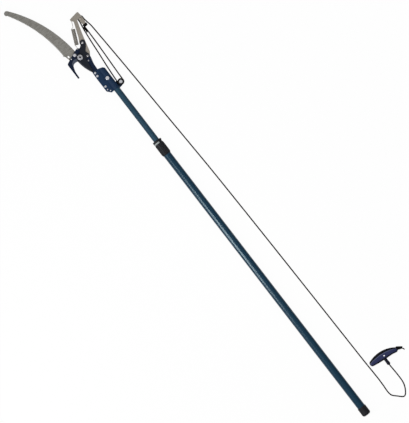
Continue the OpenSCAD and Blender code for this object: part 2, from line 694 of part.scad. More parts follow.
module lever_rivets() {
    color("#b0aca8") placed() for (p = [[arm_pin, 4.5], [lobe_pin, 4]]) {
        post(p[0], lever_z, arm_top, pin_d / 2);
        dome(p[0], arm_top, p[1], 1.9);
    }
}
// A pin through both cheeks of the lever's block, headed at each end
module block_pin(p, d, head_r) {
    rivet(p, cheek_top - lever_t, lever_top, d / 2, head_r);
}
module sheave_axle() { color("#b0aca8") placed() block_pin(upper_axle, axle_d, 4.4); }
module becket_pin() { color("#b0aca8") placed() block_pin(becket, becket_d, 2.9); }
module upper_sheave() { color("#17171a") placed() sheave(upper_axle, upper_pitch_r, axle_d / 2 + run_gap); }
module rope_upper_turn() {
    color("#28282a") placed() tube(concat(at_rope_level(lead_in),
        turn_points(upper_axle, upper_pitch_r, 90, -90)), rope_d, rope_sides);
}

// The rope's eye round the becket pin, its knot and the knot's tail
eye_r = becket_d / 2 + rope_d / 2 + 0.15;
knot_c = [becket[0] - 9.5, becket[1] + 0.5];
module becket_eye() {
    legs = knot_c[0] + 2;
    bight = concat([[legs, becket[1] + 2.4], [legs + 4, becket[1] + 3.4]],
        arc(becket, eye_r, 90, -90, 8), [[legs + 4, becket[1] - 3.4], [legs, becket[1] - 2.4]]);
    color("#28282a") placed() tube(at_rope_level(bight), rope_d, rope_sides);
}
module becket_knot() {
    turns = 4;
    body_r = 3;
    bead = rope_d / 2;
    half = turns * rope_d / 2;
    color("#222224") placed() translate([knot_c[0], knot_c[1], rope_z]) rotate([90, 0, 0]) rotate_extrude()
        polygon(concat([[0, -half]],
            [for (i = [0:turns - 1]) each [for (a = [-90:30:60])
                [body_r + bead * cos(a), -half + bead * (2 * i + 1) + bead * sin(a)]]],
            [[body_r, half], [0, half]]));
}
module becket_tail() {
    y = -40.2;
    route = [[257, y - 0.2], [250, y], [243, y], [236, y + 1.4]];
    color("#28282a") placed() tube(at_rope_level(route), rope_d, rope_sides);
}
module rope_inner_run() { color("#28282a") placed() tube(at_rope_level(inner_route), rope_d, rope_sides); }
module rope_outer_run() { color("#28282a") placed() tube(at_rope_level(outer_route), rope_d, rope_sides); }

// Return spring: straight legs that hook down into the frame and up into the lever
coil_r = spring_od / 2 - wire_d / 2;
coil_z = 1;
coil_from = [222.8, 17.9 + dy, coil_z];
coil_to = [276, -6 + dy, coil_z];
coil_dir = unit(coil_to - coil_from);
coil_side = unit(cross([0, 0, 1], coil_dir));
coil_pitch = norm(coil_to - coil_from) / curl_count;
function coil_point(i) = coil_from + coil_dir * coil_pitch * i / 8
    + coil_r * (cos(45 * i) * coil_side + sin(45 * i) * [0, 0, 1]);
coil = [for (i = [0:curl_count * 8]) coil_point(i)];
hook_z = frame_top + wire_d / 2 + 0.5;
frame_leg = [[spring_frame[0], spring_frame[1], -frame_top - 0.6],
    [spring_frame[0], spring_frame[1], frame_top - 0.4],
    [spring_frame[0] + 0.5, spring_frame[1] - 0.25, hook_z - 0.4],
    [spring_frame[0] + 1.6, spring_frame[1] - 0.8, hook_z],
    [spring_frame[0] + 5, spring_frame[1] - 2, hook_z],
    [spring_frame[0] + 10.5, spring_frame[1] - 2.6, coil_z + 1]];
lever_leg = [[spring_lever[0] - 22, spring_lever[1] + 10.6, coil_z - 0.6],
    [spring_lever[0] - 12, spring_lever[1] + 5.6, coil_z - 0.6],
    [spring_lever[0] - 1.6, spring_lever[1] + 0.8, coil_z - 0.6],
    [spring_lever[0] - 0.5, spring_lever[1] + 0.25, coil_z - 0.2],
    [spring_lever[0], spring_lever[1], coil_z + 0.8],
    [spring_lever[0], spring_lever[1], lever_top + 0.6]];
spring_self_gap = min([for (i = [0:len(coil) - 10]) each
    [for (k = [7:9]) norm(coil[i + k] - coil[i])]]) - wire_d;
echo(spring_self_gap = spring_self_gap);
// The wire is cut across its lever leg, so that the hook can draw away as the spring stretches
leg_dir = unit(lever_leg[1] - lever_leg[0]);
leg_cut = 0.4;
coil_wire = concat(frame_leg, coil, [lever_leg[0], lever_leg[0] + leg_dir]);
hook_wire = concat([lever_leg[0] + (1 + leg_cut) * leg_dir], [for (i = [1:5]) lever_leg[i]]);
module return_spring() { color("#9a958e") placed() tube(coil_wire, wire_d, 6, [1, 0, 0]); }
module spring_hook() { color("#9a958e") placed() tube(hook_wire, wire_d, 6); }

// Free rope and the pull handle
module rope_top() { color("#28282a") placed() tube(top_route, rope_d, rope_sides); }
module rope_main() { color("#28282a") placed() tube(main_route, rope_d, rope_sides); }
module rope_loop() { color("#28282a") placed() tube(loop_route, rope_d, rope_sides); }
module handle_grip() {
    arch = [for (a = [18, 5, -8, -21, -33])
        [each grip_arch_c + (grip_arch_r - grip_r) * [cos(a), sin(a)], grip_r]];
    color("#2b2e4c") placed() difference() {
        hull() for (p = concat(grip_low, arch))
            translate([p[0], p[1], grip_z]) sphere(r = p[2], $fn = 32);
        post(grip_hole_at, -2 * axis_h, axis_h, grip_hole_d / 2);
    }
}
module handle_stem() {
    r = stem_d / 2;
    color("#1a1a1e") placed() translate([stem_x, stem_y, grip_z]) rotate([0, 90, 0]) rotate_extrude()
        polygon([[0, 0], [r - 1.2, 0], [r - 0.6, 1], [r, stem_len * 0.25], [r - 0.6, stem_len * 0.4],
            [r - 0.4, stem_len], [r + 0.6, stem_len + 2], [0, stem_len + 2]]);
}
module tip_hitch() {
    turns = 4;
    axis = hitch_to - hitch_from;
    length = norm(axis);
    bead = length / turns / 2;
    color("#151517") placed() translate([hitch_from[0], hitch_from[1], grip_z])
        rotate([0, 0, atan2(axis[1], axis[0])]) rotate([0, 90, 0]) rotate_extrude()
        polygon(concat([[0, 0]],
            [for (i = [0:turns - 1]) each [for (a = [-90:30:60])
                [hitch_r - i * 0.5 + bead * 0.6 * cos(a), bead * (2 * i + 1) + bead * sin(a)]]],
            [[hitch_r - 2, length], [0, length]]));
}
module tip_tail() { color("#28282a") placed() tube(tail_route, tail_d, rope_sides); }

lower_tube();
end_cap();
lock_body();
lock_band();
lock_sleeve();
upper_tube();
glide_bush();
socket();
socket_bolt();
socket_nut();
flange_bolts();
flange_nuts();
flange_rivets();
hook_frame();
frame_rivet();
pivot_bolt();
pivot_washers();
pivot_nut();
saw_blade();
saw_bolt();
saw_nut();
saw_rivet();
pulley_bracket();
pulley_bolt();
pulley_nut();
lower_sheave();
rope_lower_turn();
cutter_blade();
lever();
lever_rivets();
sheave_axle();
becket_pin();
upper_sheave();
rope_upper_turn();
becket_eye();
becket_knot();
becket_tail();
return_spring();
spring_hook();
rope_inner_run();
rope_outer_run();
rope_top();
rope_main();
rope_loop();
handle_grip();
handle_stem();
tip_hitch();
tip_tail();
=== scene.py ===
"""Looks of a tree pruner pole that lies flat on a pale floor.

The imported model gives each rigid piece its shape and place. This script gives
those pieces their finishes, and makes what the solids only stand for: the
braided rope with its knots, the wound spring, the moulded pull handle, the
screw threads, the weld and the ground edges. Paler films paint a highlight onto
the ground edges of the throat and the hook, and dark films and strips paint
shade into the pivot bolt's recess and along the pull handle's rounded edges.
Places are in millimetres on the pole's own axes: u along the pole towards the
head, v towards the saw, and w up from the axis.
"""

from __future__ import annotations

import json
import logging
import math
from dataclasses import dataclass, field
from enum import Enum
from functools import cache
from typing import Any, Callable, Iterable, Sequence

import bpy
from mathutils import Matrix, Vector

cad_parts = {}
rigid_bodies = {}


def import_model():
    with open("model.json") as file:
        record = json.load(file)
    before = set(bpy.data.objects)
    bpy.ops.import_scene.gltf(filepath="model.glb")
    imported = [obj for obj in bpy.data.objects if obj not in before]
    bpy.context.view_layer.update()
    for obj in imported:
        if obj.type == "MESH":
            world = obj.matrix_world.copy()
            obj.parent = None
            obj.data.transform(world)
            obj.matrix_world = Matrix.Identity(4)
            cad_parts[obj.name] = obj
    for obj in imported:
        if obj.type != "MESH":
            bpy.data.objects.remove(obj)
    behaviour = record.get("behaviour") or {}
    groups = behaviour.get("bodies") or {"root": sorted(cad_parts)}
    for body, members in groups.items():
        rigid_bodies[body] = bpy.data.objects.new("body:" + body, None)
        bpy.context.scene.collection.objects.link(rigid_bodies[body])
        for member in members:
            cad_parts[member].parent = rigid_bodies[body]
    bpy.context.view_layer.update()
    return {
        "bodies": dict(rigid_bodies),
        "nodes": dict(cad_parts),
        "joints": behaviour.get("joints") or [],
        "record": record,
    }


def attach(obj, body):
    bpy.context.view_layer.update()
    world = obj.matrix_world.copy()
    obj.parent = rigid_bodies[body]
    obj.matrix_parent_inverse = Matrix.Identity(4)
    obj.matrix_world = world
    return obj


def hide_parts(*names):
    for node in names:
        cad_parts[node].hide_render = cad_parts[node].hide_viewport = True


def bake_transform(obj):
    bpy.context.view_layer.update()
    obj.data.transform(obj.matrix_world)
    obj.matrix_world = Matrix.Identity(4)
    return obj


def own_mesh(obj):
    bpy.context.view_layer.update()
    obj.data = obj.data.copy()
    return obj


LOG = logging.getLogger("pruner")
MM = 0.001
PIVOT = (181.0, 35.0, 0.0)

# Most of a noise lies in this span, and a mask goes from none to whole.
NOISE_SPAN = (0.3, 0.7)
NONE_TO_WHOLE = (0.0, 1.0)

Pair = tuple[float, float]
Point = tuple[float, float, float]
Colour = tuple[float, float, float]


class Body(Enum):
    """The bodies that the tool comes apart into."""

    HEAD = "head"
    CUTTER = "cutter"
    INNER_RUN = "inner_run"
    OUTER_RUN = "outer_run"
    LEAD_RUN = "lead_run"
    SPRING = "spring"
    SPRING_END = "spring_end"
    PULL_HANDLE = "pull_handle"


class Run(Enum):
    """The way that a finish's marks run, as their fineness along u, v and w."""

    ALONG_POLE = (0.02, 1.0, 1.0)
    ACROSS_POLE = (1.0, 0.02, 1.0)
    BRUSHED = (1.0, 0.3, 1.0)
    EVEN = (1.0, 1.0, 1.0)


def seen(red: int, green: int, blue: int) -> Colour:
    """Turns a colour as it looks on a screen into the light that a surface sends back.

    Args:
        red: red from 0 to 255.
        green: green from 0 to 255.
        blue: blue from 0 to 255.

    Returns:
        The same colour in linear light.
    """

    def linear(level: int) -> float:
        """Undoes the screen's curve for one level."""
        share = level / 255
        return share / 12.92 if share <= 0.04045 else ((share + 0.055) / 1.055) ** 2.4

    return linear(red), linear(green), linear(blue)


@dataclass(frozen=True)
class PoleAxes:
    """The pole's own axes inside the frame.

    Attributes:
        zero: the pole's zero point in the frame, in metres.
    """

    zero: Vector

    @classmethod
    def from_frame(cls, frame: dict[str, Any]) -> PoleAxes:
        """Finds the pole's zero point from the cutter's pivot.

        Args:
            frame: the loaded frame.

        Returns:
            The pole's axes.
        """
        joints = frame["record"]["behaviour"]["joints"]
        swing = next(joint for joint in joints if joint["name"] == "blade_swing")
        return cls(Vector(swing["pos_m"]) - Vector(PIVOT) * MM)

    def at(self, u: float, v: float, w: float = 0.0) -> Vector:
        """Gives a place on the pole's axes in the frame's metres."""
        return self.zero + Vector((u, v, w)) * MM


class Shader:
    """A material in the making, with a short call for each kind of node."""

    def __init__(self, name: str) -> None:
        """Starts a material.

        Args:
            name: the material's name.
        """
        self.material = bpy.data.materials.new(name)
        self.material.use_nodes = True
        self.tree = self.material.node_tree
        self.surface = self.tree.nodes["Principled BSDF"]
        self.place = self.add("ShaderNodeTexCoord").outputs["Object"]

    def add(self, kind: str, **settings: Any) -> bpy.types.Node:
        """Adds a node.

        Args:
            kind: the node's type.
            settings: the node's own properties.

        Returns:
            The new node.
        """
        node = self.tree.nodes.new(kind)
        for key, value in settings.items():
            setattr(node, key, value)
        return node

    def fix(self, **levels: float | Colour) -> None:
        """Sets the surface's constant sockets.

        Args:
            levels: socket names, with _ for a space, and their values.
        """
        for key, value in levels.items():
            socket = self.surface.inputs[key.replace("_", " ")]
            socket.default_value = (*value, 1.0) if isinstance(value, tuple) else value

    def feed(self, socket: str, source: bpy.types.NodeSocket) -> None:
        """Links a source to one of the surface's sockets."""
        self.tree.links.new(source, self.surface.inputs[socket])

    def noise(self, per_metre: float, run: Run = Run.EVEN, detail: float = 4.0) -> bpy.types.NodeSocket:
        """Adds cloudy noise.

        Args:
            per_metre: how many clouds there are in a metre.
            run: the way that the clouds are drawn out.
            detail: how many finer layers there are.

        Returns:
            The noise, about 0.5 on average.
        """
        spread = self.add("ShaderNodeMapping")
        spread.inputs["Scale"].default_value = run.value
        self.tree.links.new(self.place, spread.inputs["Vector"])
        noise = self.add("ShaderNodeTexNoise")
        noise.inputs["Scale"].default_value = per_metre
        noise.inputs["Detail"].default_value = detail
        self.tree.links.new(spread.outputs["Vector"], noise.inputs["Vector"])
        return noise.outputs["Fac"]

    def ranged(self, value: bpy.types.NodeSocket, span: Pair, onto: Pair) -> bpy.types.NodeSocket:
        """Moves a value from one span onto another and clips it there.

        Args:
            value: the value to move.
            span: the span that it comes from.
            onto: the span that it goes to.

        Returns:
            The moved value.
        """
        ranged = self.add("ShaderNodeMapRange")
        self.tree.links.new(value, ranged.inputs["Value"])
        ranged.inputs["From Min"].default_value, ranged.inputs["From Max"].default_value = span
        ranged.inputs["To Min"].default_value, ranged.inputs["To Max"].default_value = onto
        return ranged.outputs["Result"]

    def blend(self, share: bpy.types.NodeSocket, first: Colour | bpy.types.NodeSocket,
              second: Colour) -> bpy.types.NodeSocket:
        """Mixes two colours.

        Args:
            share: how much of the second colour shows.
            first: the first colour, or a socket that gives it.
            second: the second colour.

        Returns:
            The mixed colour.
        """
        mix = self.add("ShaderNodeMix", data_type="RGBA")
        self.tree.links.new(share, mix.inputs["Factor"])
        if isinstance(first, tuple):
            mix.inputs["A"].default_value = (*first, 1.0)
        else:
            self.tree.links.new(first, mix.inputs["A"])
        mix.inputs["B"].default_value = (*second, 1.0)
        return mix.outputs["Result"]

    def edges(self, radius_mm: float) -> bpy.types.NodeSocket:
        """Finds the surface's sharp edges.

        Args:
            radius_mm: how far from an edge the mask reaches.

        Returns:
            A mask that is 1 on edges and 0 on flats.
        """
        flat_to_edge = (0.995, 0.85)
        facing = self.add("ShaderNodeNewGeometry").outputs["Normal"]
        dot = self.add("ShaderNodeVectorMath", operation="DOT_PRODUCT")
        self.tree.links.new(self.rounded(radius_mm), dot.inputs[0])
        self.tree.links.new(facing, dot.inputs[1])
        return self.ranged(dot.outputs["Value"], flat_to_edge, NONE_TO_WHOLE)

    def rounded(self, radius_mm: float) -> bpy.types.NodeSocket:
        """Gives the surface's normal with its sharp edges rounded off.

        Args:
            radius_mm: the radius of a rounded edge.

        Returns:
            The normal.
        """
        bevel = self.add("ShaderNodeBevel", samples=4)
        bevel.inputs["Radius"].default_value = radius_mm * MM
        return bevel.outputs["Normal"]

    def relief(self, height: bpy.types.NodeSocket, depth_mm: float, edge_mm: float) -> None:
        """Gives the surface small bumps, and soft edges where it is sharp.

        Args:
            height: the bumps, from 0 to 1.
            depth_mm: how deep they are.
            edge_mm: the radius of a softened edge.
        """
        bump = self.add("ShaderNodeBump")
        bump.inputs["Distance"].default_value = depth_mm * MM
        bump.inputs["Strength"].default_value = 1.0
        self.tree.links.new(height, bump.inputs["Height"])
        if edge_mm > 0:
            self.tree.links.new(self.rounded(edge_mm), bump.inputs["Normal"])
        self.feed("Normal", bump.outputs["Normal"])


@dataclass(frozen=True)
class Finish:
    """What every finish has.

    Attributes:
        name: the finish's name.
        colour: its main colour.
        roughness: how dull it is.
        slot: the slot that it would belong to, if that has another name; not used.
    """

    name: str
    colour: Colour
    roughness: float
    slot: str = ""

    @cache
    def material(self) -> bpy.types.Material:
        """Gives the finish's material, and makes it the first time.

        Returns:
            The material.
        """
        shader = Shader(f"{self.name}_finish")
        self.dress(shader)
        return shader.material

    def dress(self, shader: Shader) -> None:
        """Fills in the material's nodes."""
        raise NotImplementedError

    def put_on(self, *objects: bpy.types.Object) -> None:
        """Gives objects the finish, in place of their materials.

        Args:
            objects: the objects.
        """
        for each in objects:
            each.data.materials.clear()
            each.data.materials.append(self.material())


@dataclass(frozen=True)
class Enamel(Finish):
    """Stove enamel or powder coat on metal.

    Attributes:
        worn: the colour that shows where an edge has worn.
        peel_per_metre: how fine the orange peel is.
        peel_mm: how deep the orange peel is.
        shine: how strongly it mirrors.
        tint: the colour that its mirrored light takes.
        run: the way that its faint scratches run.
    """

    worn: Colour = (0.3, 0.3, 0.3)
    peel_per_metre: float = 900.0
    peel_mm: float = 0.02
    shine: float = 0.12
    tint: Colour = (1.0, 1.0, 1.0)
    run: Run = Run.EVEN

    def dress(self, shader: Shader) -> None:
        """Makes mottled paint with orange peel, faint scratches and worn edges.

        Args:
            shader: the material in the making.
        """
        darker, mottles_per_metre = 0.84, 14
        chip_mm, chips_per_metre, chip_span, most_chipped = 0.5, 160, (0.5, 0.62), 0.55
        scratches_per_metre, smoother, rougher, edge_mm = 420, 0.85, 1.2, 0.35
        dark = tuple(level * darker for level in self.colour)
        mottle = shader.ranged(shader.noise(mottles_per_metre, self.run), NOISE_SPAN, NONE_TO_WHOLE)
        paint = shader.blend(mottle, self.colour, dark)
        grain = shader.noise(chips_per_metre, detail=6)
        chipped = shader.add("ShaderNodeMath", operation="MULTIPLY")
        shader.tree.links.new(shader.edges(chip_mm), chipped.inputs[0])
        shader.tree.links.new(shader.ranged(grain, chip_span, (0.0, most_chipped)), chipped.inputs[1])
        shader.feed("Base Color", shader.blend(chipped.outputs["Value"], paint, self.worn))
        scratches = shader.noise(scratches_per_metre, self.run, detail=3)
        dulled = (self.roughness * smoother, self.roughness * rougher)
        shader.feed("Roughness", shader.ranged(scratches, NOISE_SPAN, dulled))
        shader.relief(shader.noise(self.peel_per_metre), self.peel_mm, edge_mm)
        shader.fix(Specular_IOR_Level=self.shine, Specular_Tint=self.tint)


@dataclass(frozen=True)
class Moulding(Finish):
    """Moulded plastic or rubber.

    Attributes:
        grain_per_metre: how fine the moulded grain is.
        grain_mm: how deep the grain is.
        specular: how strongly it mirrors.
    """

    grain_per_metre: float = 1500.0
    grain_mm: float = 0.03
    specular: float = 0.14

    def dress(self, shader: Shader) -> None:
        """Makes grained plastic that is rubbed paler along its edges.

        Args:
            shader: the material in the making.
        """
        paler, pale_add = 1.9, 0.012
        handled_per_metre, handled_span, most_handled = 35, (0.35, 0.75), 0.35
        rub_mm, most_rubbed, uneven, edge_mm = 0.7, 0.5, 0.08, 0.4
        pale = tuple(min(1.0, level * paler + pale_add) for level in self.colour)
        handled = shader.ranged(shader.noise(handled_per_metre), handled_span, (0.0, most_handled))
        shade = shader.blend(handled, self.colour, pale)
        rubbed = shader.ranged(shader.edges(rub_mm), NONE_TO_WHOLE, (0.0, most_rubbed))
        shader.feed("Base Color", shader.blend(rubbed, shade, pale))
        grain = shader.noise(self.grain_per_metre, detail=2)
        dulled = (self.roughness - uneven, self.roughness + uneven)
        shader.feed("Roughness", shader.ranged(grain, NOISE_SPAN, dulled))
        shader.relief(grain, self.grain_mm, edge_mm)
        shader.fix(Specular_IOR_Level=self.specular)


@dataclass(frozen=True)
class BareMetal(Finish):
    """Plated, ground or drawn metal.

    Attributes:
        stain: the colour of its darker patches.
        stain_share: how strongly the patches show.
        stains_per_metre: how many patches there are in a metre.
        stain_run: the way that the patches are drawn out.
        marks_per_metre: how fine the grinding marks are.
        marks_mm: how deep the marks are.
        run: the way that the marks run.
        metal: how metallic it is.
    """

    stain: Colour = (0.2, 0.2, 0.2)
    stain_share: float = 0.4
    stains_per_metre: float = 45.0
    stain_run: Run = Run.EVEN
    marks_per_metre: float = 900.0
    marks_mm: float = 0.012
    run: Run = Run.EVEN
    metal: float = 0.9

    def dress(self, shader: Shader) -> None:
        """Makes metal with grinding marks, stains and brighter edges.

        Args:
            shader: the material in the making.
        """
        brighter, bright_add = 1.35, 0.05
        stain_span, rub_mm, most_rubbed = (0.42, 0.72), 0.4, 0.45
        smoother, rougher, edge_mm = 0.1, 0.12, 0.25
        bright = tuple(min(1.0, level * brighter + bright_add) for level in self.colour)
        marks = shader.noise(self.marks_per_metre, self.run, detail=3)
        stains = shader.noise(self.stains_per_metre, self.stain_run, detail=5)
        patches = shader.ranged(stains, stain_span, (0.0, self.stain_share))
        shade = shader.blend(patches, self.colour, self.stain)
        rubbed = shader.ranged(shader.edges(rub_mm), NONE_TO_WHOLE, (0.0, most_rubbed))
        shader.feed("Base Color", shader.blend(rubbed, shade, bright))
        dulled = (self.roughness - smoother, self.roughness + rougher)
        shader.feed("Roughness", shader.ranged(marks, NOISE_SPAN, dulled))
        shader.relief(marks, self.marks_mm, edge_mm)
        shader.fix(Metallic=self.metal)


@dataclass(frozen=True)
class Yarn(Finish):
    """Braided cord.

    Attributes:
        rubbed: the colour of yarn that has rubbed on the sheaves.
        fuzz: the sheen of its loose fibres.
    """

    rubbed: Colour = (0.08, 0.08, 0.08)
    fuzz: float = 0.05

    def dress(self, shader: Shader) -> None:
        """Makes dull yarn with paler rubbed patches and fine fibres.

        Args:
            shader: the material in the making.
        """
        patches_per_metre, patch_span, most_rubbed = 60, (0.45, 0.75), 0.6
        fibres_per_metre, deep_span, deepest, darker = 3200, (0.35, 0.65), 0.5, 0.4
        smoother, rougher, fibre_mm = 0.1, 0.08, 0.08
        worn = shader.noise(patches_per_metre, detail=5)
        patches = shader.ranged(worn, patch_span, (0.0, most_rubbed))
        shade = shader.blend(patches, self.colour, self.rubbed)
        fibres = shader.noise(fibres_per_metre, detail=2)
        deep = shader.ranged(fibres, deep_span, (0.0, deepest))
        dark = tuple(darker * level for level in self.colour)
        shader.feed("Base Color", shader.blend(deep, shade, dark))
        dulled = (self.roughness - smoother, self.roughness + rougher)
        shader.feed("Roughness", shader.ranged(fibres, NOISE_SPAN, dulled))
        shader.relief(fibres, fibre_mm, edge_mm=0)
        shader.fix(Sheen_Weight=self.fuzz, Sheen_Roughness=0.6, Specular_IOR_Level=0.1)


@dataclass(frozen=True)
class Finishes:
    """Every finish on the tool."""

    pole_blue: Enamel = Enamel("pole_blue", seen(30, 63, 85), 0.22, worn=seen(120, 140, 150),
                               peel_mm=0.001, shine=0.28, tint=(0.75, 0.95, 1.0), run=Run.ALONG_POLE)
    upper_blue: Enamel = Enamel("upper_blue", seen(47, 78, 98), 0.3, "pole_blue", worn=seen(120, 140, 150),
                                peel_mm=0.001, shine=0.12, tint=(0.75, 0.95, 1.0), run=Run.ALONG_POLE)
    navy_steel: Enamel = Enamel("navy_steel", seen(33, 55, 84), 0.42, worn=seen(110, 118, 140),
                                peel_per_metre=1400, peel_mm=0.03)
    hook_navy: Enamel = Enamel("hook_navy", seen(25, 37, 60), 0.42, "navy_steel", worn=seen(110, 118, 140),
                               peel_per_metre=1400, peel_mm=0.03)
    # Paler navy for the throat's bevel and the hook's inner edge: bare ground metal, with a painted highlight
    # where they catch the light.
    ground_and_highlit_navy: Enamel = Enamel("ground_and_highlit_navy", seen(86, 94, 110), 0.45, "navy_steel",
                                 worn=seen(150, 154, 160), peel_per_metre=2400, peel_mm=0.01)
    black_plastic: Moulding = Moulding("black_plastic", seen(31, 32, 36), 0.5)
    pale_band: Moulding = Moulding("pale_band", seen(156, 162, 162), 0.38, grain_mm=0.01)
    white_nylon: Moulding = Moulding("white_nylon", seen(214, 212, 204), 0.5)
    zinc: BareMetal = BareMetal("zinc", seen(232, 234, 240), 0.38, stain=seen(164, 166, 170), metal=0.5)
    # Dark grey for the pivot bolt's key recess: painted shade where the recess lies in shadow.
    recess_painted_shade: Enamel = Enamel("recess_painted_shade", seen(76, 76, 80), 0.6, "zinc", worn=seen(90, 90, 94))
    rivet_steel: BareMetal = BareMetal("rivet_steel", seen(200, 200, 203), 0.36, stain=seen(140, 138, 136),
                                       metal=0.5)
    saw_steel: BareMetal = BareMetal("saw_steel", seen(152, 150, 144), 0.5, stain=seen(108, 105, 98),
                                     stain_share=0.65, stains_per_metre=190, stain_run=Run.BRUSHED,
                                     run=Run.ACROSS_POLE, metal=0.25)
    blade_coat: Enamel = Enamel("blade_coat", seen(38, 42, 50), 0.4, worn=seen(110, 110, 114),
                                peel_per_metre=700, peel_mm=0.012, shine=0.1)
    ground_blade: Enamel = Enamel("ground_blade", seen(60, 64, 73), 0.4, "blade_coat",
                                  worn=seen(150, 150, 154), peel_per_metre=2400, peel_mm=0.01)
    lever_steel: BareMetal = BareMetal("lever_steel", seen(178, 171, 160), 0.4, stain=seen(150, 142, 133),
                                       stain_share=0.2, marks_per_metre=2600, marks_mm=0.004,
                                       run=Run.ALONG_POLE, metal=0.4)
    sheave_nylon: Moulding = Moulding("sheave_nylon", seen(22, 22, 25), 0.34, grain_mm=0.012)
    spring_steel: BareMetal = BareMetal("spring_steel", seen(150, 146, 139), 0.4, stain=seen(112, 108, 103),
                                        metal=0.15)
    rope_black: Yarn = Yarn("rope_black", seen(10, 10, 11), 0.85, rubbed=seen(24, 24, 25))
    handle_navy: Moulding = Moulding("handle_navy", seen(50, 56, 92), 0.44)
    handle_ridge: Moulding = Moulding("handle_ridge", seen(84, 91, 118), 0.4, "handle_navy")
    # Near black strips on the handle's arched and straight edges: painted shade where those rounded edges
    # turn away from the light.
    stem_rubber: Moulding = Moulding("stem_rubber", seen(17, 18, 23), 0.6, grain_mm=0.04)
    stem_navy: Moulding = Moulding("stem_navy", seen(21, 23, 38), 0.55, "stem_rubber", grain_mm=0.04)


def mesh_object(name: str, points: Sequence[Vector], faces: Sequence[Sequence[int]],
                smooth: bool = True) -> bpy.types.Object:
    """Makes a mesh object in the scene.

    Args:
        name: the object's name.
        points: its corners, in metres.
        faces: its faces as lists of corner numbers.
        smooth: whether its faces are shaded smooth.

    Returns:
        The new object.
    """
    mesh = bpy.data.meshes.new(name)
    mesh.from_pydata([tuple(point) for point in points], [], [tuple(face) for face in faces])
    mesh.validate()
    if smooth:
        mesh.shade_smooth()
    else:
        mesh.shade_flat()
    made = bpy.data.objects.new(name, mesh)
    bpy.context.collection.objects.link(made)
    return made


def smooth_line(points: Sequence[Point], step: float) -> list[Vector]:
    """Draws one smooth line through points.

    Args:
        points: the points that the line goes through, in millimetres.
        step: about how far apart the line's own points lie.

    Returns:
        The line's points, in millimetres.
    """
    knots = [Vector(point) for point in points]
    spans = [(b - a).length for a, b in zip(knots, knots[1:])]
    last = len(knots) - 1
    slopes = [(knots[1] - knots[0]) / spans[0]]
    slopes += [(knots[i + 1] - knots[i - 1]) / (spans[i - 1] + spans[i]) for i in range(1, last)]
    slopes.append((knots[last] - knots[last - 1]) / spans[-1])
    line = [knots[0]]
    for i, span in enumerate(spans):
        count = max(1, round(span / step))
        for k in range(1, count + 1):
            t = k / count
            line.append(knots[i] * (2 * t**3 - 3 * t**2 + 1) + slopes[i] * span * (t**3 - 2 * t**2 + t)
                        + knots[i + 1] * (3 * t**2 - 2 * t**3) + slopes[i + 1] * span * (t**3 - t**2))
    return line


def turn_line(centre: Pair, radius: float, start: float, end: float, w: float,
              step: float = 6.0) -> list[Point]:
    """Gives points on an arc seen from above.

    Args:
        centre: the arc's centre.
        radius: its radius.
        start: the angle that it starts at, in degrees.
        end: the angle that it ends at.
        w: its height.
        step: about how many degrees lie between points.

    Returns:
        The arc's points.
    """
    count = max(2, round(abs(end - start) / step))
    angles = [math.radians(start + (end - start) * i / count) for i in range(count + 1)]
    return [(centre[0] + radius * math.cos(a), centre[1] + radius * math.sin(a), w) for a in angles]


def sweep(name: str, axes: PoleAxes, line: Sequence[Vector], sides: int,
          radius: Callable[[float, float], float]) -> bpy.types.Object:
    """Sweeps a round section along a line.

    Args:
        name: the new object's name.
        axes: the pole's axes.
        line: the line, in millimetres.
        sides: how many corners the section has.
        radius: gives the section's radius for a distance along the line and an angle round it.

    Returns:
        A closed tube.
    """
    count = len(line)
    ways = [(line[min(i + 1, count - 1)] - line[max(i - 1, 0)]).normalized() for i in range(count)]
    side = ways[0].orthogonal().normalized()
    points: list[Vector] = []
    gone = 0.0
    for i, (place, way) in enumerate(zip(line, ways)):
        side = (side - way * side.dot(way)).normalized()
        other = way.cross(side)
        gone += (place - line[i - 1]).length if i else 0.0
        for k in range(sides):
            angle = 2 * math.pi * k / sides
            out = side * math.cos(angle) + other * math.sin(angle)
            points.append(axes.at(*(place + out * radius(gone, angle))))
    faces: list[list[int]] = []
    for i in range(count - 1):
        for k in range(sides):
            after = (k + 1) % sides
            faces.append([i * sides + k, i * sides + after, (i + 1) * sides + after, (i + 1) * sides + k])
    faces.append(list(range(sides))[::-1])
    faces.append([(count - 1) * sides + k for k in range(sides)])
    return mesh_object(name, points, faces)


def between(table: Sequence[Pair], place: float) -> float:
    """Reads a value between the rows of a table.

    Args:
        table: places in order, each with its value.
        place: the place to read at, which is held inside the table.

    Returns:
        The value there.
    """
    low, high = sorted((table[0][0], table[-1][0]))
    held = min(max(place, low), high)
    return next(a[1] + (b[1] - a[1]) * (held - a[0]) / (b[0] - a[0])
                for a, b in zip(table, table[1:]) if min(a[0], b[0]) <= held <= max(a[0], b[0]))


def line_length(line: Sequence[Vector]) -> float:
    """Gives a line's length."""
    return sum((b - a).length for a, b in zip(line, line[1:]))


@dataclass(frozen=True)
class BraidedCord:
    """A cord braided from yarns that cross.

    Attributes:
        diameter: the cord's diameter.
        crossings: how many yarns cross round it.
        lay: how far a yarn goes in one turn of the pattern.
        relief: how deep the hollows between yarns are, as a share of the radius.
        sides: how many corners the section has.
        step: how far apart the sections lie.
    """

    diameter: float = 4.4
    crossings: int = 4
    lay: float = 7.2
    relief: float = 0.22
    sides: int = 16
    step: float = 1.2

    def radius(self, gone: float, angle: float) -> float:
        """Gives the braid's radius.

        Args:
            gone: the distance along the cord.
            angle: the angle round it.

        Returns:
            The radius there.
        """
        turn = 2 * math.pi * gone / self.lay
        crossing = math.cos(self.crossings * angle + turn) * math.cos(self.crossings * angle - turn)
        return self.diameter / 2 * (1 + self.relief * 0.5 * crossing)

    def along(self, name: str, axes: PoleAxes, points: Sequence[Point]) -> bpy.types.Object:
        """Makes the cord through points.

        Args:
            name: the new object's name.
            axes: the pole's axes.
            points: the points that it goes through.

        Returns:
            The cord's mesh.
        """
        return sweep(name, axes, smooth_line(points, self.step), self.sides, self.radius)


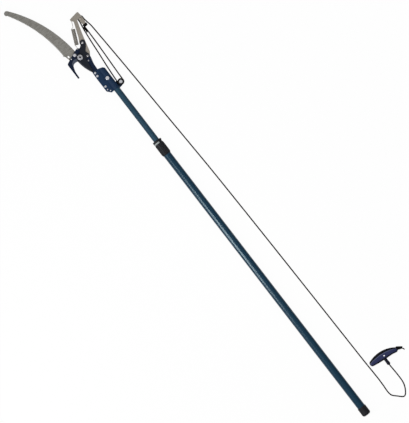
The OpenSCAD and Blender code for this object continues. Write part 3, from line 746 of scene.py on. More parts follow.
@dataclass
class Assembly:
    """What every sub-assembly shares.

    Attributes:
        axes: the pole's axes.
        nodes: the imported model's objects by name.
        finishes: the tool's finishes.
    """

    axes: PoleAxes
    nodes: dict[str, bpy.types.Object]
    finishes: Finishes

    def dress(self, finish: Finish, *names: str) -> None:
        """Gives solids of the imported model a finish.

        Args:
            finish: the finish.
            names: the solids' names.
        """
        for name in names:
            finish.put_on(self.nodes[name])
            LOG.info("%s wears %s", name, finish.name)

    def settle(self, piece: bpy.types.Object, finish: Finish, body: Body,
               *stands_for: str) -> bpy.types.Object:
        """Finishes a new piece and lets it ride on a body.

        Args:
            piece: the new piece.
            finish: its finish.
            body: the body that carries it.
            stands_for: the solids that it stands for.

        Returns:
            The piece.
        """
        self.present(piece, finish, *stands_for)
        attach(piece, body.value)
        return piece

    def film(self, name: str, rows: Sequence[Sequence[Point]], finish: Finish, body: Body) -> None:
        """Lays a thin film on a solid's face, for ground metal, for a painted highlight and for painted
        shade.

        Args:
            name: the film's name.
            rows: rows of points on the face, each row as long as the first.
            finish: the film's finish.
            body: the body that carries it.
        """
        proud, depth = 0.03, 0.15
        row, last = len(rows[0]), len(rows) - 1
        points = [self.axes.at(u, v, w + proud - sink)
                  for sink in (0.0, depth) for line in rows for u, v, w in line]
        under = (last + 1) * row
        faces: list[list[int]] = []
        for i in range(last):
            for k in range(row - 1):
                patch = [i * row + k, i * row + k + 1, (i + 1) * row + k + 1, (i + 1) * row + k]
                faces += [patch, [under + corner for corner in reversed(patch)]]
        rim = list(range(row - 1)) + [i * row + row - 1 for i in range(last)]
        rim += [last * row + k for k in range(row - 1, 0, -1)] + [i * row for i in range(last, 0, -1)]
        faces += [[b, a, under + a, under + b] for a, b in zip(rim, rim[1:] + rim[:1])]
        sheet = mesh_object(name, points, faces, smooth=False)
        self.settle(sheet, finish, body)

    def present(self, piece: bpy.types.Object, finish: Finish, *stands_for: str) -> None:
        """Finishes a new piece and hides what it stands for.

        Args:
            piece: the new piece.
            finish: its finish.
            stands_for: the solids that it stands for.
        """
        finish.put_on(piece)
        if stands_for:
            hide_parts(*stands_for)
        LOG.info("%s made in %s", piece.name, finish.name)


@dataclass
class Pole(Assembly):
    """The two tubes, the end cap and the twist lock."""

    def build(self) -> None:
        """Dresses the pole's solids."""
        self.dress(self.finishes.pole_blue, "lower_tube")
        self.dress(self.finishes.upper_blue, "upper_tube")
        self.dress(self.finishes.black_plastic, "end_cap", "lock_body", "lock_sleeve")
        self.dress(self.finishes.pale_band, "lock_band")
        self.dress(self.finishes.white_nylon, "glide_bush")


@dataclass
class HeadPlates(Assembly):
    """The socket, the hook frame, the saw and what fastens them.

    Attributes:
        pivot_thread: the pivot bolt's thread as diameter, lowest and highest place.
        flange_thread: the flange bolts' thread in the same way.
        flange_bolts_at: where the flange bolts stand.
        thread_pitch: the rise of one turn of thread.
        thread_height: how far the thread stands out.
        weld_r: the radius of the weld bead.
        weld_span: where the weld starts and ends along the pole.
        weld_at: the weld's place across the pole and its height.
        frame_w: the height of the hook frame's upper face.
        throat_centre: the middle of the bevel that is ground round the throat.
        low_arc: the centre and radius of the throat's edge next to the pivot.
        high_arc: the centre and radius of the throat's edge that runs on into the hook.
    """

    pivot_thread: Point = (10.0, -16.4, -12.2)
    flange_thread: Point = (5.0, -9.4, -7.7)
    flange_bolts_at: tuple[Pair, ...] = ((104.5, 27.0), (91.0, 27.0), (44.0, 27.0))
    thread_pitch: float = 1.0
    thread_height: float = 0.22
    weld_r: float = 1.3
    weld_span: tuple[int, int] = (11, 37)
    weld_at: Pair = (-9.9, -8.6)
    frame_w: float = 2.0
    throat_centre: Pair = (166.0, 57.0)
    low_arc: Point = (167.5, 55.7, 8.0)
    high_arc: Point = (163.0, 61.85, 13.0)

    def build(self) -> None:
        """Dresses the plates and adds the threads, the weld, the ground edges with their painted highlight
        and the painted shade in the pivot bolt's recess.
        """
        self.dress(self.finishes.navy_steel, "socket", "pulley_bracket")
        self.dress(self.finishes.hook_navy, "hook_frame")
        self.dress(self.finishes.zinc, "socket_bolt", "socket_nut", "flange_bolts", "flange_nuts",
                   "pivot_bolt", "pivot_washers", "pivot_nut", "saw_bolt", "saw_nut", "pulley_bolt",
                   "pulley_nut")
        self.dress(self.finishes.rivet_steel, "flange_rivets", "frame_rivet", "saw_rivet")
        self.dress(self.finishes.saw_steel, "saw_blade")
        self.thread("pivot_thread", (PIVOT[0], PIVOT[1]), self.pivot_thread)
        for number, place in enumerate(self.flange_bolts_at):
            self.thread(f"flange_thread_{number}", place, self.flange_thread)
        self.weld()
        self.throat_bevel_film()
        self.hook_edge_film()
        self.pivot_recess()

    def thread(self, name: str, place: Pair, size: Point) -> None:
        """Winds a thread round the end of a bolt.

        Args:
            name: the piece's name.
            place: the bolt's place.
            size: the thread's diameter, lowest and highest place.
        """
        diameter, low, high = size
        per_turn, sides = 24, 6
        count = round((high - low) / self.thread_pitch * per_turn)
        line: list[Vector] = []
        for i in range(count + 1):
            angle = 2 * math.pi * i / per_turn
            out = Vector((math.cos(angle), math.sin(angle), 0)) * diameter / 2
            line.append(Vector((*place, low + (high - low) * i / count)) + out)
        ridge = sweep(name, self.axes, line, sides, lambda gone, angle: self.thread_height)
        self.settle(ridge, self.finishes.zinc, Body.HEAD)

    def weld(self) -> None:
        """Lays a rippled weld bead between the socket and the pulley's bracket."""
        ripple, depth, sides = 2.2, 0.14, 10
        line = [Vector((u, *self.weld_at)) for u in range(self.weld_span[0], self.weld_span[1] + 1)]

        def radius(gone: float, angle: float) -> float:
            """Gives the bead's radius, which is the same all round."""
            return self.weld_r * (1 - depth + depth * abs(math.sin(math.pi * gone / ripple)))

        bead = sweep("bracket_weld", self.axes, line, sides, radius)
        self.settle(bead, self.finishes.navy_steel, Body.HEAD)

    def pivot_recess(self) -> None:
        """Lays a dark film in the key recess of the pivot bolt: painted shade where the recess lies in
        shadow.
        """
        floor_w, half_flats, corner, lines = 11.0, 3.95, 4.5, 8
        rows: list[list[Point]] = []
        for i in range(lines + 1):
            out = half_flats * (2 * i / lines - 1)
            half = corner * (1 - abs(out) / half_flats / 2)
            rows.append([(PIVOT[0] + side * half, PIVOT[1] + out, floor_w) for side in (1, -1)])
        # The dark film paints the shade inside the key recess.
        self.film("recess_painted_shade", rows, self.finishes.recess_painted_shade, Body.HEAD)

    def throat_edge(self, v: float) -> float:
        """Gives the place of the throat's edge on one line across the frame.

        Args:
            v: the line's place across the pole.

        Returns:
            The edge's place along the pole.
        """
        low_end_v, high_start_v = 55.0, 60.7
        from_u, from_v, lean = 175.0, 50.0, 0.0878
        if low_end_v <= v <= high_start_v:
            return from_u + lean * (v - from_v)
        u, middle_v, r = self.low_arc if v < low_end_v else self.high_arc
        return u + math.sqrt(r**2 - (v - middle_v) ** 2)

    def throat_bevel_film(self) -> None:
        """Lays a paler film on the bevel round the throat: bare ground metal with a painted highlight where
        the bevel catches the light.
        """
        floor_r, outer_r, low_w, slope = 11.0, 20.8, 0.7, 0.13
        lines, columns, from_v, to_v, margin = 16, 10, 48.5, 66.9, 0.1
        middle_u, middle_v = self.throat_centre
        rows: list[list[Point]] = []
        for i in range(lines + 1):
            v = from_v + (to_v - from_v) * i / lines
            near = self.throat_edge(v) + margin
            far = middle_u + math.sqrt(outer_r**2 - (v - middle_v) ** 2)
            row: list[Point] = []
            for k in range(columns + 1):
                u = near + (far - near) * k / columns
                rise = max(0.0, math.hypot(u - middle_u, v - middle_v) - floor_r) * slope
                row.append((u, v, low_w + rise))
            rows.append(row)
        self.film("throat_ground_highlight", rows, self.finishes.ground_and_highlit_navy, Body.HEAD)

    def hook_edge_film(self) -> None:
        """Lays a paler film that tapers off along the hook's inner edge: bare ground metal with a painted
        highlight along that edge.
        """
        lines, columns, margin, start, end = 16, 4, 0.1, 23.8, 69.0
        arc_centre, arc_r = Vector(self.high_arc[:2]), self.high_arc[2] + margin
        first, pull, last = Vector((184.1, 67.15)), Vector((181.5, 74.5)), Vector((167.9, 74.6))
        rows: list[list[Point]] = []
        for i in range(lines + 1):
            share = i / lines
            angle = math.radians(start + (end - start) * share)
            near = arc_centre + Vector((math.cos(angle), math.sin(angle))) * arc_r
            far = first * (1 - share) ** 2 + pull * 2 * share * (1 - share) + last * share**2
            places = [near.lerp(far, k / columns) for k in range(columns + 1)]
            rows.append([(place.x, place.y, self.frame_w) for place in places])
        self.film("hook_ground_highlight", rows, self.finishes.ground_and_highlit_navy, Body.HEAD)


@dataclass
class Cutter(Assembly):
    """The blade, its lever and the return spring.

    Attributes:
        frame_hole: where the spring hooks into the frame.
        lever_hole: where the spring hooks into the lever.
        coil_from: where the curls start.
        coil_to: where the curls end.
        curls: how many curls there are.
        coil_d: the spring's outside diameter.
        wire_d: the wire's diameter.
        blade_w: the height of the blade's upper face.
        heel: the heel of the blade's edge, from the pivot.
        tip: the tip of the blade's edge, from the pivot.
        edge_r: the radius of the blade's edge.
    """

    frame_hole: Point = (208.5, 25.0, -2.6)
    lever_hole: Point = (304.0, -20.5, 5.2)
    coil_from: Point = (222.8, 17.9, 1.0)
    coil_to: Point = (276.0, -6.0, 1.0)
    curls: int = 37
    coil_d: float = 14.6
    wire_d: float = 1.55
    blade_w: float = 5.1
    heel: Pair = (-5.0, 16.0)
    tip: Pair = (-68.6, -2.0)
    edge_r: float = 150.0

    def build(self) -> None:
        """Dresses the cutter, shows its ground edge and winds its spring."""
        self.dress(self.finishes.blade_coat, "cutter_blade")
        self.ground_blade()
        self.dress(self.finishes.lever_steel, "lever", "sheave_axle", "becket_pin")
        self.dress(self.finishes.rivet_steel, "lever_rivets")
        self.dress(self.finishes.sheave_nylon, "upper_sheave", "lower_sheave")
        self.spring()

    def ground_blade(self) -> None:
        """Shows the strip where the blade's edge was ground through its coat."""
        lines, first, last, taper = 48, 0.02, 0.98, 0.2
        margin, least, width = 0.15, 0.1, 4.8
        pivot = Vector(PIVOT[:2])
        heel, tip = pivot + Vector(self.heel), pivot + Vector(self.tip)
        chord = tip - heel
        inwards = Vector((-chord.y, chord.x)).normalized()
        centre = (heel + tip) / 2 + inwards * math.sqrt(self.edge_r**2 - (chord.length / 2) ** 2)
        start, end = (math.atan2(place.y - centre.y, place.x - centre.x) for place in (heel, tip))
        rows: list[list[Point]] = []
        for i in range(lines + 1):
            share = first + (last - first) * i / lines
            angle = start + (end - start) * share
            reach = margin + least + width * min(1.0, (1 - share) / taper)
            rows.append([(centre.x + r * math.cos(angle), centre.y + r * math.sin(angle), self.blade_w)
                         for r in (self.edge_r - margin, self.edge_r - reach)])
        self.film("blade_grinding", rows, self.finishes.ground_blade, Body.CUTTER)

    def coil(self) -> list[Vector]:
        """Winds the spring's curls.

        Returns:
            The points of the curls.
        """
        per_curl = 20
        count = self.curls * per_curl
        start, end = Vector(self.coil_from), Vector(self.coil_to)
        up = Vector((0, 0, 1))
        side = up.cross((end - start).normalized()).normalized()
        radius = self.coil_d / 2 - self.wire_d / 2
        points: list[Vector] = []
        for i in range(count + 1):
            angle = 2 * math.pi * i / per_curl
            along = start + (end - start) * i / count
            points.append(along + (side * math.cos(angle) + up * math.sin(angle)) * radius)
        return points

    def spring(self) -> None:
        """Makes the spring in one wire, hooked into the frame and the lever."""
        u, v, w = self.frame_hole
        over_frame, under_lever, step, sides = 3.2, 0.4, 0.7, 10
        frame_leg = [(u, v, w), (u, v, 1.6), (u + 0.5, v - 0.25, over_frame - 0.4),
                     (u + 1.6, v - 0.8, over_frame), (u + 5, v - 2, over_frame), (u + 10.5, v - 2.6, 2.0)]
        u, v, w = self.lever_hole
        lever_leg = [(u - 22, v + 10.6, under_lever), (u - 12, v + 5.6, under_lever),
                     (u - 1.6, v + 0.8, under_lever), (u - 0.5, v + 0.25, 0.8), (u, v, 1.8), (u, v, w)]
        coil = self.coil()
        first = smooth_line([*frame_leg, tuple(coil[0])], step)
        last = smooth_line([tuple(coil[-1]), *lever_leg], step)
        wire = sweep("return_spring_wire", self.axes, first[:-1] + coil + last[1:], sides,
                     lambda gone, angle: self.wire_d / 2)
        self.present(wire, self.finishes.spring_steel, "return_spring", "spring_hook")
        self.axes.at(*self.coil_from)
        self.axes.at(*self.coil_to)
        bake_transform(wire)


@dataclass(frozen=True)
class Stretch:
    """A straight run of rope that swings on the cutter.

    Attributes:
        body: the body that carries it.
        node: the solid that it stands for.
        route: the points that it goes through, from the cutter's end.
        far: the far end of its line from the cutter's end.
        closed_share: what would be left of its length when the cutter is closed; not used.
    """

    body: Body
    node: str
    route: tuple[Point, ...]
    far: Point
    closed_share: float


@dataclass
class Tackle(Assembly):
    """The rope from its knot on the lever to the pull handle.

    Attributes:
        cord: the rope.
        rope_w: the height that the rope runs at between the pulleys.
        floor_w: the height of a rope that lies on the floor.
        lower_axle: the fixed pulley's axle.
        upper_axle: the moving pulley's axle.
        lower_r: the rope's radius on the fixed pulley.
        upper_r: the rope's radius on the moving pulley.
        becket: the pin that holds the rope's fast end.
        knot: the middle of the knot.
        inner_hinge: where the inner run bends away from the cutter.
        outer_hinge: where the outer run leaves the knot.
        free_from: where the free rope starts.
        free_length: the length of the free rope, in metres; not used.
    """

    cord: BraidedCord = field(default_factory=BraidedCord)
    rope_w: float = -1.6
    floor_w: float = -14.9
    lower_axle: Pair = (25.5, -27.5)
    upper_axle: Pair = (290.0, -50.0)
    lower_r: float = 10.3
    upper_r: float = 9.3
    becket: Pair = (271.0, -50.0)
    knot: Pair = (261.5, -49.5)
    inner_hinge: Pair = (256.0, -36.4)
    outer_hinge: Pair = (256.4, -44.2)
    free_from: Pair = (-280.0, -86.8)
    free_length: float = 1.34

    def build(self) -> None:
        """Lays the whole rope, the free stretch first."""
        self.free_rope()
        for stretch in (self.inner(), self.outer(), self.lead()):
            self.stretch(stretch)
        self.bends()
        self.turns()
        self.fast_end()

    def level(self, *places: Pair) -> tuple[Point, ...]:
        """Gives places at the height of the runs."""
        return tuple((u, v, self.rope_w) for u, v in places)

    def lay(self, name: str, route: Sequence[Point], body: Body, *stands_for: str) -> bpy.types.Object:
        """Lays a piece of rope that rides on one body.

        Args:
            name: the piece's name.
            route: the points that it goes through.
            body: the body that carries it.
            stands_for: the solids that it stands for.

        Returns:
            The piece.
        """
        rope = self.cord.along(name, self.axes, route)
        return self.settle(rope, self.finishes.rope_black, body, *stands_for)

    def free_rope(self) -> None:
        """Lays the rope that runs free along the pole, round its loop and up to the handle."""
        on_floor = [self.free_from, (-411, -91.5), (-600, -96), (-800, -99.8), (-1000, -103),
                    (-1150, -105.2), (-1250, -106.6), (-1300, -107.4), (-1340, -108.6), (-1350, -108.8),
                    (-1370, -109.2), (-1400, -108.6), (-1425, -107.4), (-1438, -108.8), (-1446.4, -112.6),
                    (-1461, -127), (-1471.6, -138), (-1474.6, -144.4), (-1472, -151), (-1461, -160),
                    (-1445, -168), (-1430, -171.6)]
        rising = [(-1410, -172.6, -14), (-1390, -172.2, -11.4), (-1370, -171.4, -9.2), (-1360, -171, -8.3),
                  (-1352, -171, -8.3)]
        route = [(u, v, self.floor_w) for u, v in on_floor] + rising
        rope = self.cord.along("free_rope", self.axes, route)
        self.present(rope, self.finishes.rope_black, "rope_main", "rope_loop")
        held_u, held_v = self.free_from
        pulled_u = -1340.0
        self.axes.at(held_u, held_v)
        self.axes.at(pulled_u, held_v)
        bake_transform(rope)
        line = smooth_line(route, self.cord.step)
        LOG.info("free rope measures %.3f m", line_length(line) * MM)
        self.axes.at(*route[0])
        [self.axes.at(*place) for place in line]

    def inner(self) -> Stretch:
        """Plans the run that comes off the moving pulley.

        Returns:
            The run.
        """
        far = (self.lower_axle[0], self.lower_axle[1] + self.lower_r)
        route = self.level(self.inner_hinge, (250, -35.4), (200, -30.4), (150, -26.2), (100, -21.6),
                           (60, -18.6), (36, -17.2), far)
        return Stretch(Body.INNER_RUN, "rope_inner_run", route, route[-1], closed_share=0.6278)

    def outer(self) -> Stretch:
        """Plans the run that ends in the knot.

        Returns:
            The run.
        """
        far = (self.lower_axle[0], self.lower_axle[1] - self.lower_r)
        route = self.level(self.outer_hinge, (240, -44.2), (200, -43.6), (150, -42), (100, -40), (60, -38.4),
                           (36, -37.8), far)
        return Stretch(Body.OUTER_RUN, "rope_outer_run", route, route[-1], closed_share=0.6095)

    def lead(self) -> Stretch:
        """Plans the run that goes down from the moving pulley to the floor.

        Returns:
            The run.
        """
        u, v = self.upper_axle[0], self.upper_axle[1] - self.upper_r
        route = (*self.level((u, v), (u - 8, v)), (266, -61.8, -2.2), (250, -65, -3), (200, -67.8, -5),
                 (150, -70.2, -8), (120, -71.6, -9.7), (100, -72.5, -10.8), (80, -73.4, -11.9),
                 (45, -74.8, -13.4), (27.5, -75.5, -14.15), (-30, -77.6, self.floor_w),
                 (-146, -81.6, self.floor_w), (*self.free_from, self.floor_w))
        far = (*self.free_from, self.rope_w)
        return Stretch(Body.LEAD_RUN, "rope_top", route, far, closed_share=0.7957)

    def stretch(self, run: Stretch) -> None:
        """Lays a run.

        Args:
            run: the run to lay.
        """
        piece = self.lay(run.body.value, run.route, run.body, run.node)
        anchor = self.axes.at(*run.route[0])
        (self.axes.at(*run.far) - anchor).normalized()
        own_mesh(piece)

    def bends(self) -> None:
        """Lays the short bends where the two runs leave the cutter, and the knot's tail."""
        inner = self.level((266, -38.07), (261, -37.23), self.inner_hinge, (251, -35.57), (245, -34.9))
        outer = self.level((260.5, -44.4), self.outer_hinge, (251, -44.2), (245, -44.2))
        tail = self.level((self.knot[0] - 2, -40.9), (256, -40.4), (250, -40.2), (243, -40.2), (236, -38.8))
        for name, route, body, low_u, nodes in (("inner_bend", inner, Body.INNER_RUN, 249, ()),
                                                ("outer_bend", outer, Body.OUTER_RUN, 249, ()),
                                                ("knot_tail", tail, Body.INNER_RUN, 247, ("becket_tail",))):
            bend = self.cord.along(name, self.axes, route)
            self.present(bend, self.finishes.rope_black, *nodes)
            v = route[0][1]
            high_u = self.inner_hinge[0] * 2 - low_u
            self.axes.at(high_u, v)
            self.axes.at(low_u, v)
            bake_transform(bend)

    def turns(self) -> None:
        """Lays the rope round the pulleys, with spare where a run swings along its pulley."""
        spare, overlap, lead_from = 22, 2, -38
        low = turn_line(self.lower_axle, self.lower_r, 90 - spare, 270, self.rope_w)
        self.lay("lower_turn", low, Body.HEAD, "rope_lower_turn")
        high = [*self.level((263, -37.57), (274, -39.4), (282, self.upper_axle[1] + self.upper_r)),
                *turn_line(self.upper_axle, self.upper_r, 90, lead_from - overlap, self.rope_w)]
        self.lay("upper_turn", high, Body.CUTTER, "rope_upper_turn")
        lead = turn_line(self.upper_axle, self.upper_r, lead_from, -90, self.rope_w)
        self.lay("lead_turn", lead, Body.LEAD_RUN)

    def fast_end(self) -> None:
        """Ties the rope's fast end to the becket with an eye and a wound knot."""
        pin_v = self.becket[1]
        knot_u, knot_v = self.knot
        eye_r, eye_step = 3.9, 20
        eye = [*self.level((knot_u + 1, knot_v + 2.1), (knot_u + 4, knot_v + 2.8)),
               *turn_line(self.becket, eye_r, 90, -90, self.rope_w, eye_step),
               *self.level((knot_u + 4, pin_v - 3), (knot_u + 1, pin_v - 2.2))]
        self.lay("eye", eye, Body.CUTTER, "becket_eye")
        self.settle(self.knot_turns(), self.finishes.rope_black, Body.CUTTER, "becket_knot")

    def knot_turns(self) -> bpy.types.Object:
        """Winds the knot's turns round the standing rope.

        Returns:
            The knot's mesh.
        """
        turns, body_r, per_turn = 4, 3.2, 14
        count = turns * per_turn
        half = (turns - 1) * self.cord.diameter / 2
        line: list[Point] = []
        for i in range(count + 1):
            angle = 2 * math.pi * i / per_turn
            line.append((self.knot[0] + body_r * math.cos(angle), self.knot[1] - half + 2 * half * i / count,
                         self.rope_w + body_r * math.sin(angle)))
        return self.cord.along("knot_turns", self.axes, line)


@dataclass(frozen=True)
class Band:
    """A strip that runs along the pull handle.

    Attributes:
        name: its name.
        middle: the angle of its middle round the handle, in degrees, where 0 is the arched edge.
        half: half of the angle that it covers.
        ridge: whether it is a paler ridge, and not a dark strip of painted shade.
    """

    name: str
    middle: float
    half: float
    ridge: bool


@dataclass
class PullHandle(Assembly):
    """The moulded handle with its stem, its hole and the hitch on its tip.

    Attributes:
        middle_w: the height of the handle's middle.
        half_t: half of the handle's thickness.
        arch_centre: the centre of the arched edge.
        arch_r: the radius of the arched edge.
        blunt: the blunt end's centre and radius.
        tip: the tip's centre and radius.
        under_edge: points on the straight edge, as v and u.
        hole: where the hole goes through.
        hole_r: the hole's radius.
        bands: the strips along its edges: dark strips of painted shade where the rounded edges turn away from
            the light, and paler ridges.
        band_proud: how far they stand off the handle.
        stem_end: where the rope goes into the stem.
        stem_profile: the stem's radius at distances from that end.
        hitch_from: where the hitch starts on the tip.
        hitch_to: where the hitch ends.
        hitch_d: the diameter of its cord.
        tail_d: the diameter of its loose end.
        crease: the angle from which an edge stays sharp, in degrees.
    """

    middle_w: float = -8.3
    half_t: float = 9.0
    arch_centre: Pair = (-1405.0, -160.6)
    arch_r: float = 108.4
    blunt: Point = (-1313.5, -124.2, 8.5)
    tip: Point = (-1323.6, -225.6, 5.0)
    under_edge: tuple[Pair, ...] = ((-124.2, -1322.6), (-145, -1326), (-168, -1328.4), (-185, -1329),
                                    (-200, -1329.7), (-210, -1331.4), (-219, -1333.2), (-222.5, -1332.4),
                                    (-225.6, -1329.7))
    hole: Pair = (-1316.5, -175.0)
    hole_r: float = 2.75
    # The first two bands are painted shade on the rounded edges; the last two are paler ridges.
    bands: tuple[Band, ...] = (Band("grip_arch_shade_band", 0, 69, ridge=False),
                               Band("grip_under_shade_band", 180, 56, ridge=False),
                               Band("grip_upper_ridge", 75, 5, ridge=True),
                               Band("grip_lower_ridge", -75, 5, ridge=True))
    band_proud: float = 0.35
    stem_end: Pair = (-1352.0, -171.0)
    stem_profile: tuple[Pair, ...] = ((0.0, 4.8), (1.0, 5.8), (6.5, 6.4), (10.5, 5.8), (24.0, 5.8),
                                      (26.0, 6.4))
    hitch_from: Pair = (-1322.4, -225.6)
    hitch_to: Pair = (-1332.2, -243.6)
    hitch_d: float = 3.6
    tail_d: float = 3.8
    crease: float = 40.0

    def build(self) -> None:
        """Moulds the handle with its stem and its bands, the dark ones being painted shade along its rounded
        edges, and ties the hitch on its tip.
        """
        grip = self.loft("grip_moulding", 0.0, (0.0, 2 * math.pi))
        self.drill(grip)
        self.settle(grip, self.finishes.handle_navy, Body.PULL_HANDLE, "handle_grip")
        for band in self.bands:
            span = (math.radians(band.middle - band.half), math.radians(band.middle + band.half))
            # A dark band is painted shade along a rounded edge.
            finish = self.finishes.handle_ridge if band.ridge else self.finishes.stem_rubber
            self.settle(self.loft(band.name, self.band_proud, span), finish, Body.PULL_HANDLE)
        self.stem()
        self.hitch()

    def edges_at(self, v: float) -> tuple[float, float, float]:
        """Gives the handle's outline at one place along it.

        Args:
            v: the place along the handle.

        Returns:
            The arched edge, the straight edge and half of the thickness there.
        """
        tip_ease, blunt_ease = 25.0, 15.0
        (blunt_u, blunt_v, blunt_r), (tip_u, tip_v, tip_r) = self.blunt, self.tip
        held = min(max(v, tip_v), blunt_v)
        top = self.arch_centre[0] + math.sqrt(self.arch_r**2 - (held - self.arch_centre[1]) ** 2)
        low = between(self.under_edge, held)
        ease = min(1.0, (held - tip_v) / tip_ease)
        half = tip_r + (self.half_t - tip_r) * math.sin(ease * math.pi / 2)
        half = min(half, blunt_r + (self.half_t - blunt_r) * min(1.0, (blunt_v - held) / blunt_ease))
        if v > blunt_v:
            middle, shrink = blunt_u, (v - blunt_v) / blunt_r
        else:
            middle, shrink = tip_u, (tip_v - v) / tip_r
        share = math.sqrt(max(0.0, 1 - max(0.0, shrink) ** 2))
        return middle + (top - middle) * share, middle + (low - middle) * share, half * share

    def loft(self, name: str, proud: float, span: Pair) -> bpy.types.Object:
        """Lofts the handle, or a band over part of it.

        Args:
            name: the new object's name.
            proud: how far it stands off the handle's own surface.
            span: the angles that it covers round the handle, where 0 is the arched edge.

        Returns:
            The lofted mesh.
        """
        square, stations, around, margin, sunk = 2.7, 72, 40, 0.01, 0.2
        whole = span[1] - span[0] >= 2 * math.pi - 1e-6
        row = around if whole else around + 1
        high_v = self.blunt[1] + self.blunt[2] - margin
        low_v = self.tip[1] - self.tip[2] + margin
        points: list[Vector] = []
        for i in range(stations + 1):
            v = high_v + (low_v - high_v) * (0.5 - 0.5 * math.cos(math.pi * i / stations))
            top, low, half = self.edges_at(v)
            reach, middle = (top - low) / 2, (top + low) / 2
            for k in range(row):
                angle = span[0] + (span[1] - span[0]) * k / around
                c, s = math.cos(angle), math.sin(angle)
                out_u = math.copysign(abs(c) ** (2 / square), c)
                out_w = math.copysign(abs(s) ** (2 / square), s)
                points.append(self.axes.at(middle + out_u * (reach + proud), v,
                                           self.middle_w + out_w * (half + proud)))
        faces = [[i * row + k, i * row + (k + 1) % row, (i + 1) * row + (k + 1) % row, (i + 1) * row + k]
                 for i in range(stations) for k in range(around)]
        if whole:
            faces += [list(range(row))[::-1], [stations * row + k for k in range(row)]]
        made = mesh_object(name, points, faces)
        if not whole:
            self.thicken(made, proud + sunk)
        return made

    def thicken(self, sheet: bpy.types.Object, depth: float) -> None:
        """Gives a band its thickness, half of it to either side.

        Args:
            sheet: the band.
            depth: its thickness in millimetres.
        """
        solid = sheet.modifiers.new("thickness", "SOLIDIFY")
        solid.thickness = depth * MM
        solid.offset = 0.0
        self.bake(sheet)

    def bake(self, piece: bpy.types.Object) -> None:
        """Turns a piece's modifiers into plain mesh.

        Args:
            piece: the piece.
        """
        shown = piece.evaluated_get(bpy.context.evaluated_depsgraph_get())
        baked = bpy.data.meshes.new_from_object(shown)
        piece.modifiers.clear()
        piece.data = baked

    def drill(self, grip: bpy.types.Object) -> None:
        """Drills the hanging hole through the handle.

        Args:
            grip: the handle.
        """
        sides = 40
        reach = self.half_t + 2
        ring = turn_line(self.hole, self.hole_r, 0, 360, self.middle_w, 360 / sides)[:-1]
        points = [self.axes.at(u, v, w + end) for end in (-reach, reach) for u, v, w in ring]
        faces = [[k, (k + 1) % sides, sides + (k + 1) % sides, sides + k] for k in range(sides)]
        faces += [list(range(sides))[::-1], [sides + k for k in range(sides)]]
        cutter = mesh_object("hole_cutter", points, faces)
        cut = grip.modifiers.new("hole", "BOOLEAN")
        cut.operation = "DIFFERENCE"
        cut.solver = "EXACT"
        cut.object = cutter
        self.bake(grip)
        grip.data.set_sharp_from_angle(angle=math.radians(self.crease))
        bpy.data.objects.remove(cutter)

    def stem(self) -> None:
        """Moulds the sleeve that the rope goes into."""
        step, sides = 0.5, 32
        count = round(self.stem_profile[-1][0] / step)
        u, v = self.stem_end
        line = [Vector((u + step * k, v, self.middle_w)) for k in range(count + 1)]
        sleeve = sweep("stem_moulding", self.axes, line, sides,
                       lambda gone, angle: between(self.stem_profile, gone))
        sleeve.data.set_sharp_from_angle(angle=math.radians(self.crease))
        self.settle(sleeve, self.finishes.stem_navy, Body.PULL_HANDLE, "handle_stem")

    def hitch(self) -> None:
        """Winds the hitch round the handle's tip and leaves its loose end."""
        turns, per_turn, wide, narrow, taper = 6, 18, 5.4, 2.8, 1.3
        count = turns * per_turn
        start, end = Vector(self.hitch_from), Vector(self.hitch_to)
        way = (end - start).normalized()
        across = Vector((-way.y, way.x))
        line: list[Point] = []
        for i in range(count + 1):
            share = i / count
            angle = 2 * math.pi * i / per_turn
            radius = wide + (narrow - wide) * share**taper
            place = start + (end - start) * share + across * radius * math.cos(angle)
            line.append((place.x, place.y, self.middle_w + radius * math.sin(angle)))
        tail = [(-1330, -239.6, -8.3), (-1334.5, -242.8, -10.3), (-1339, -245, -13.3), (-1343, -246.6, -15.3)]
        for name, diameter, route, node in (("hitch_turns", self.hitch_d, line, "tip_hitch"),
                                            ("hitch_tail", self.tail_d, tail, "tip_tail")):
            cord = BraidedCord(diameter=diameter).along(name, self.axes, route)
            self.settle(cord, self.finishes.rope_black, Body.PULL_HANDLE, node)


@dataclass(frozen=True)
class Lamp:
    """A flat lamp that shines on the tool's middle.

    Attributes:
        name: its name.
        place: where it hangs, on the pole's axes.
        size: its two sides, in metres.
        power: its power in watts.
        mirrored: whether shiny surfaces show it.
    """

    name: str
    place: Point
    size: Pair
    power: float
    mirrored: bool


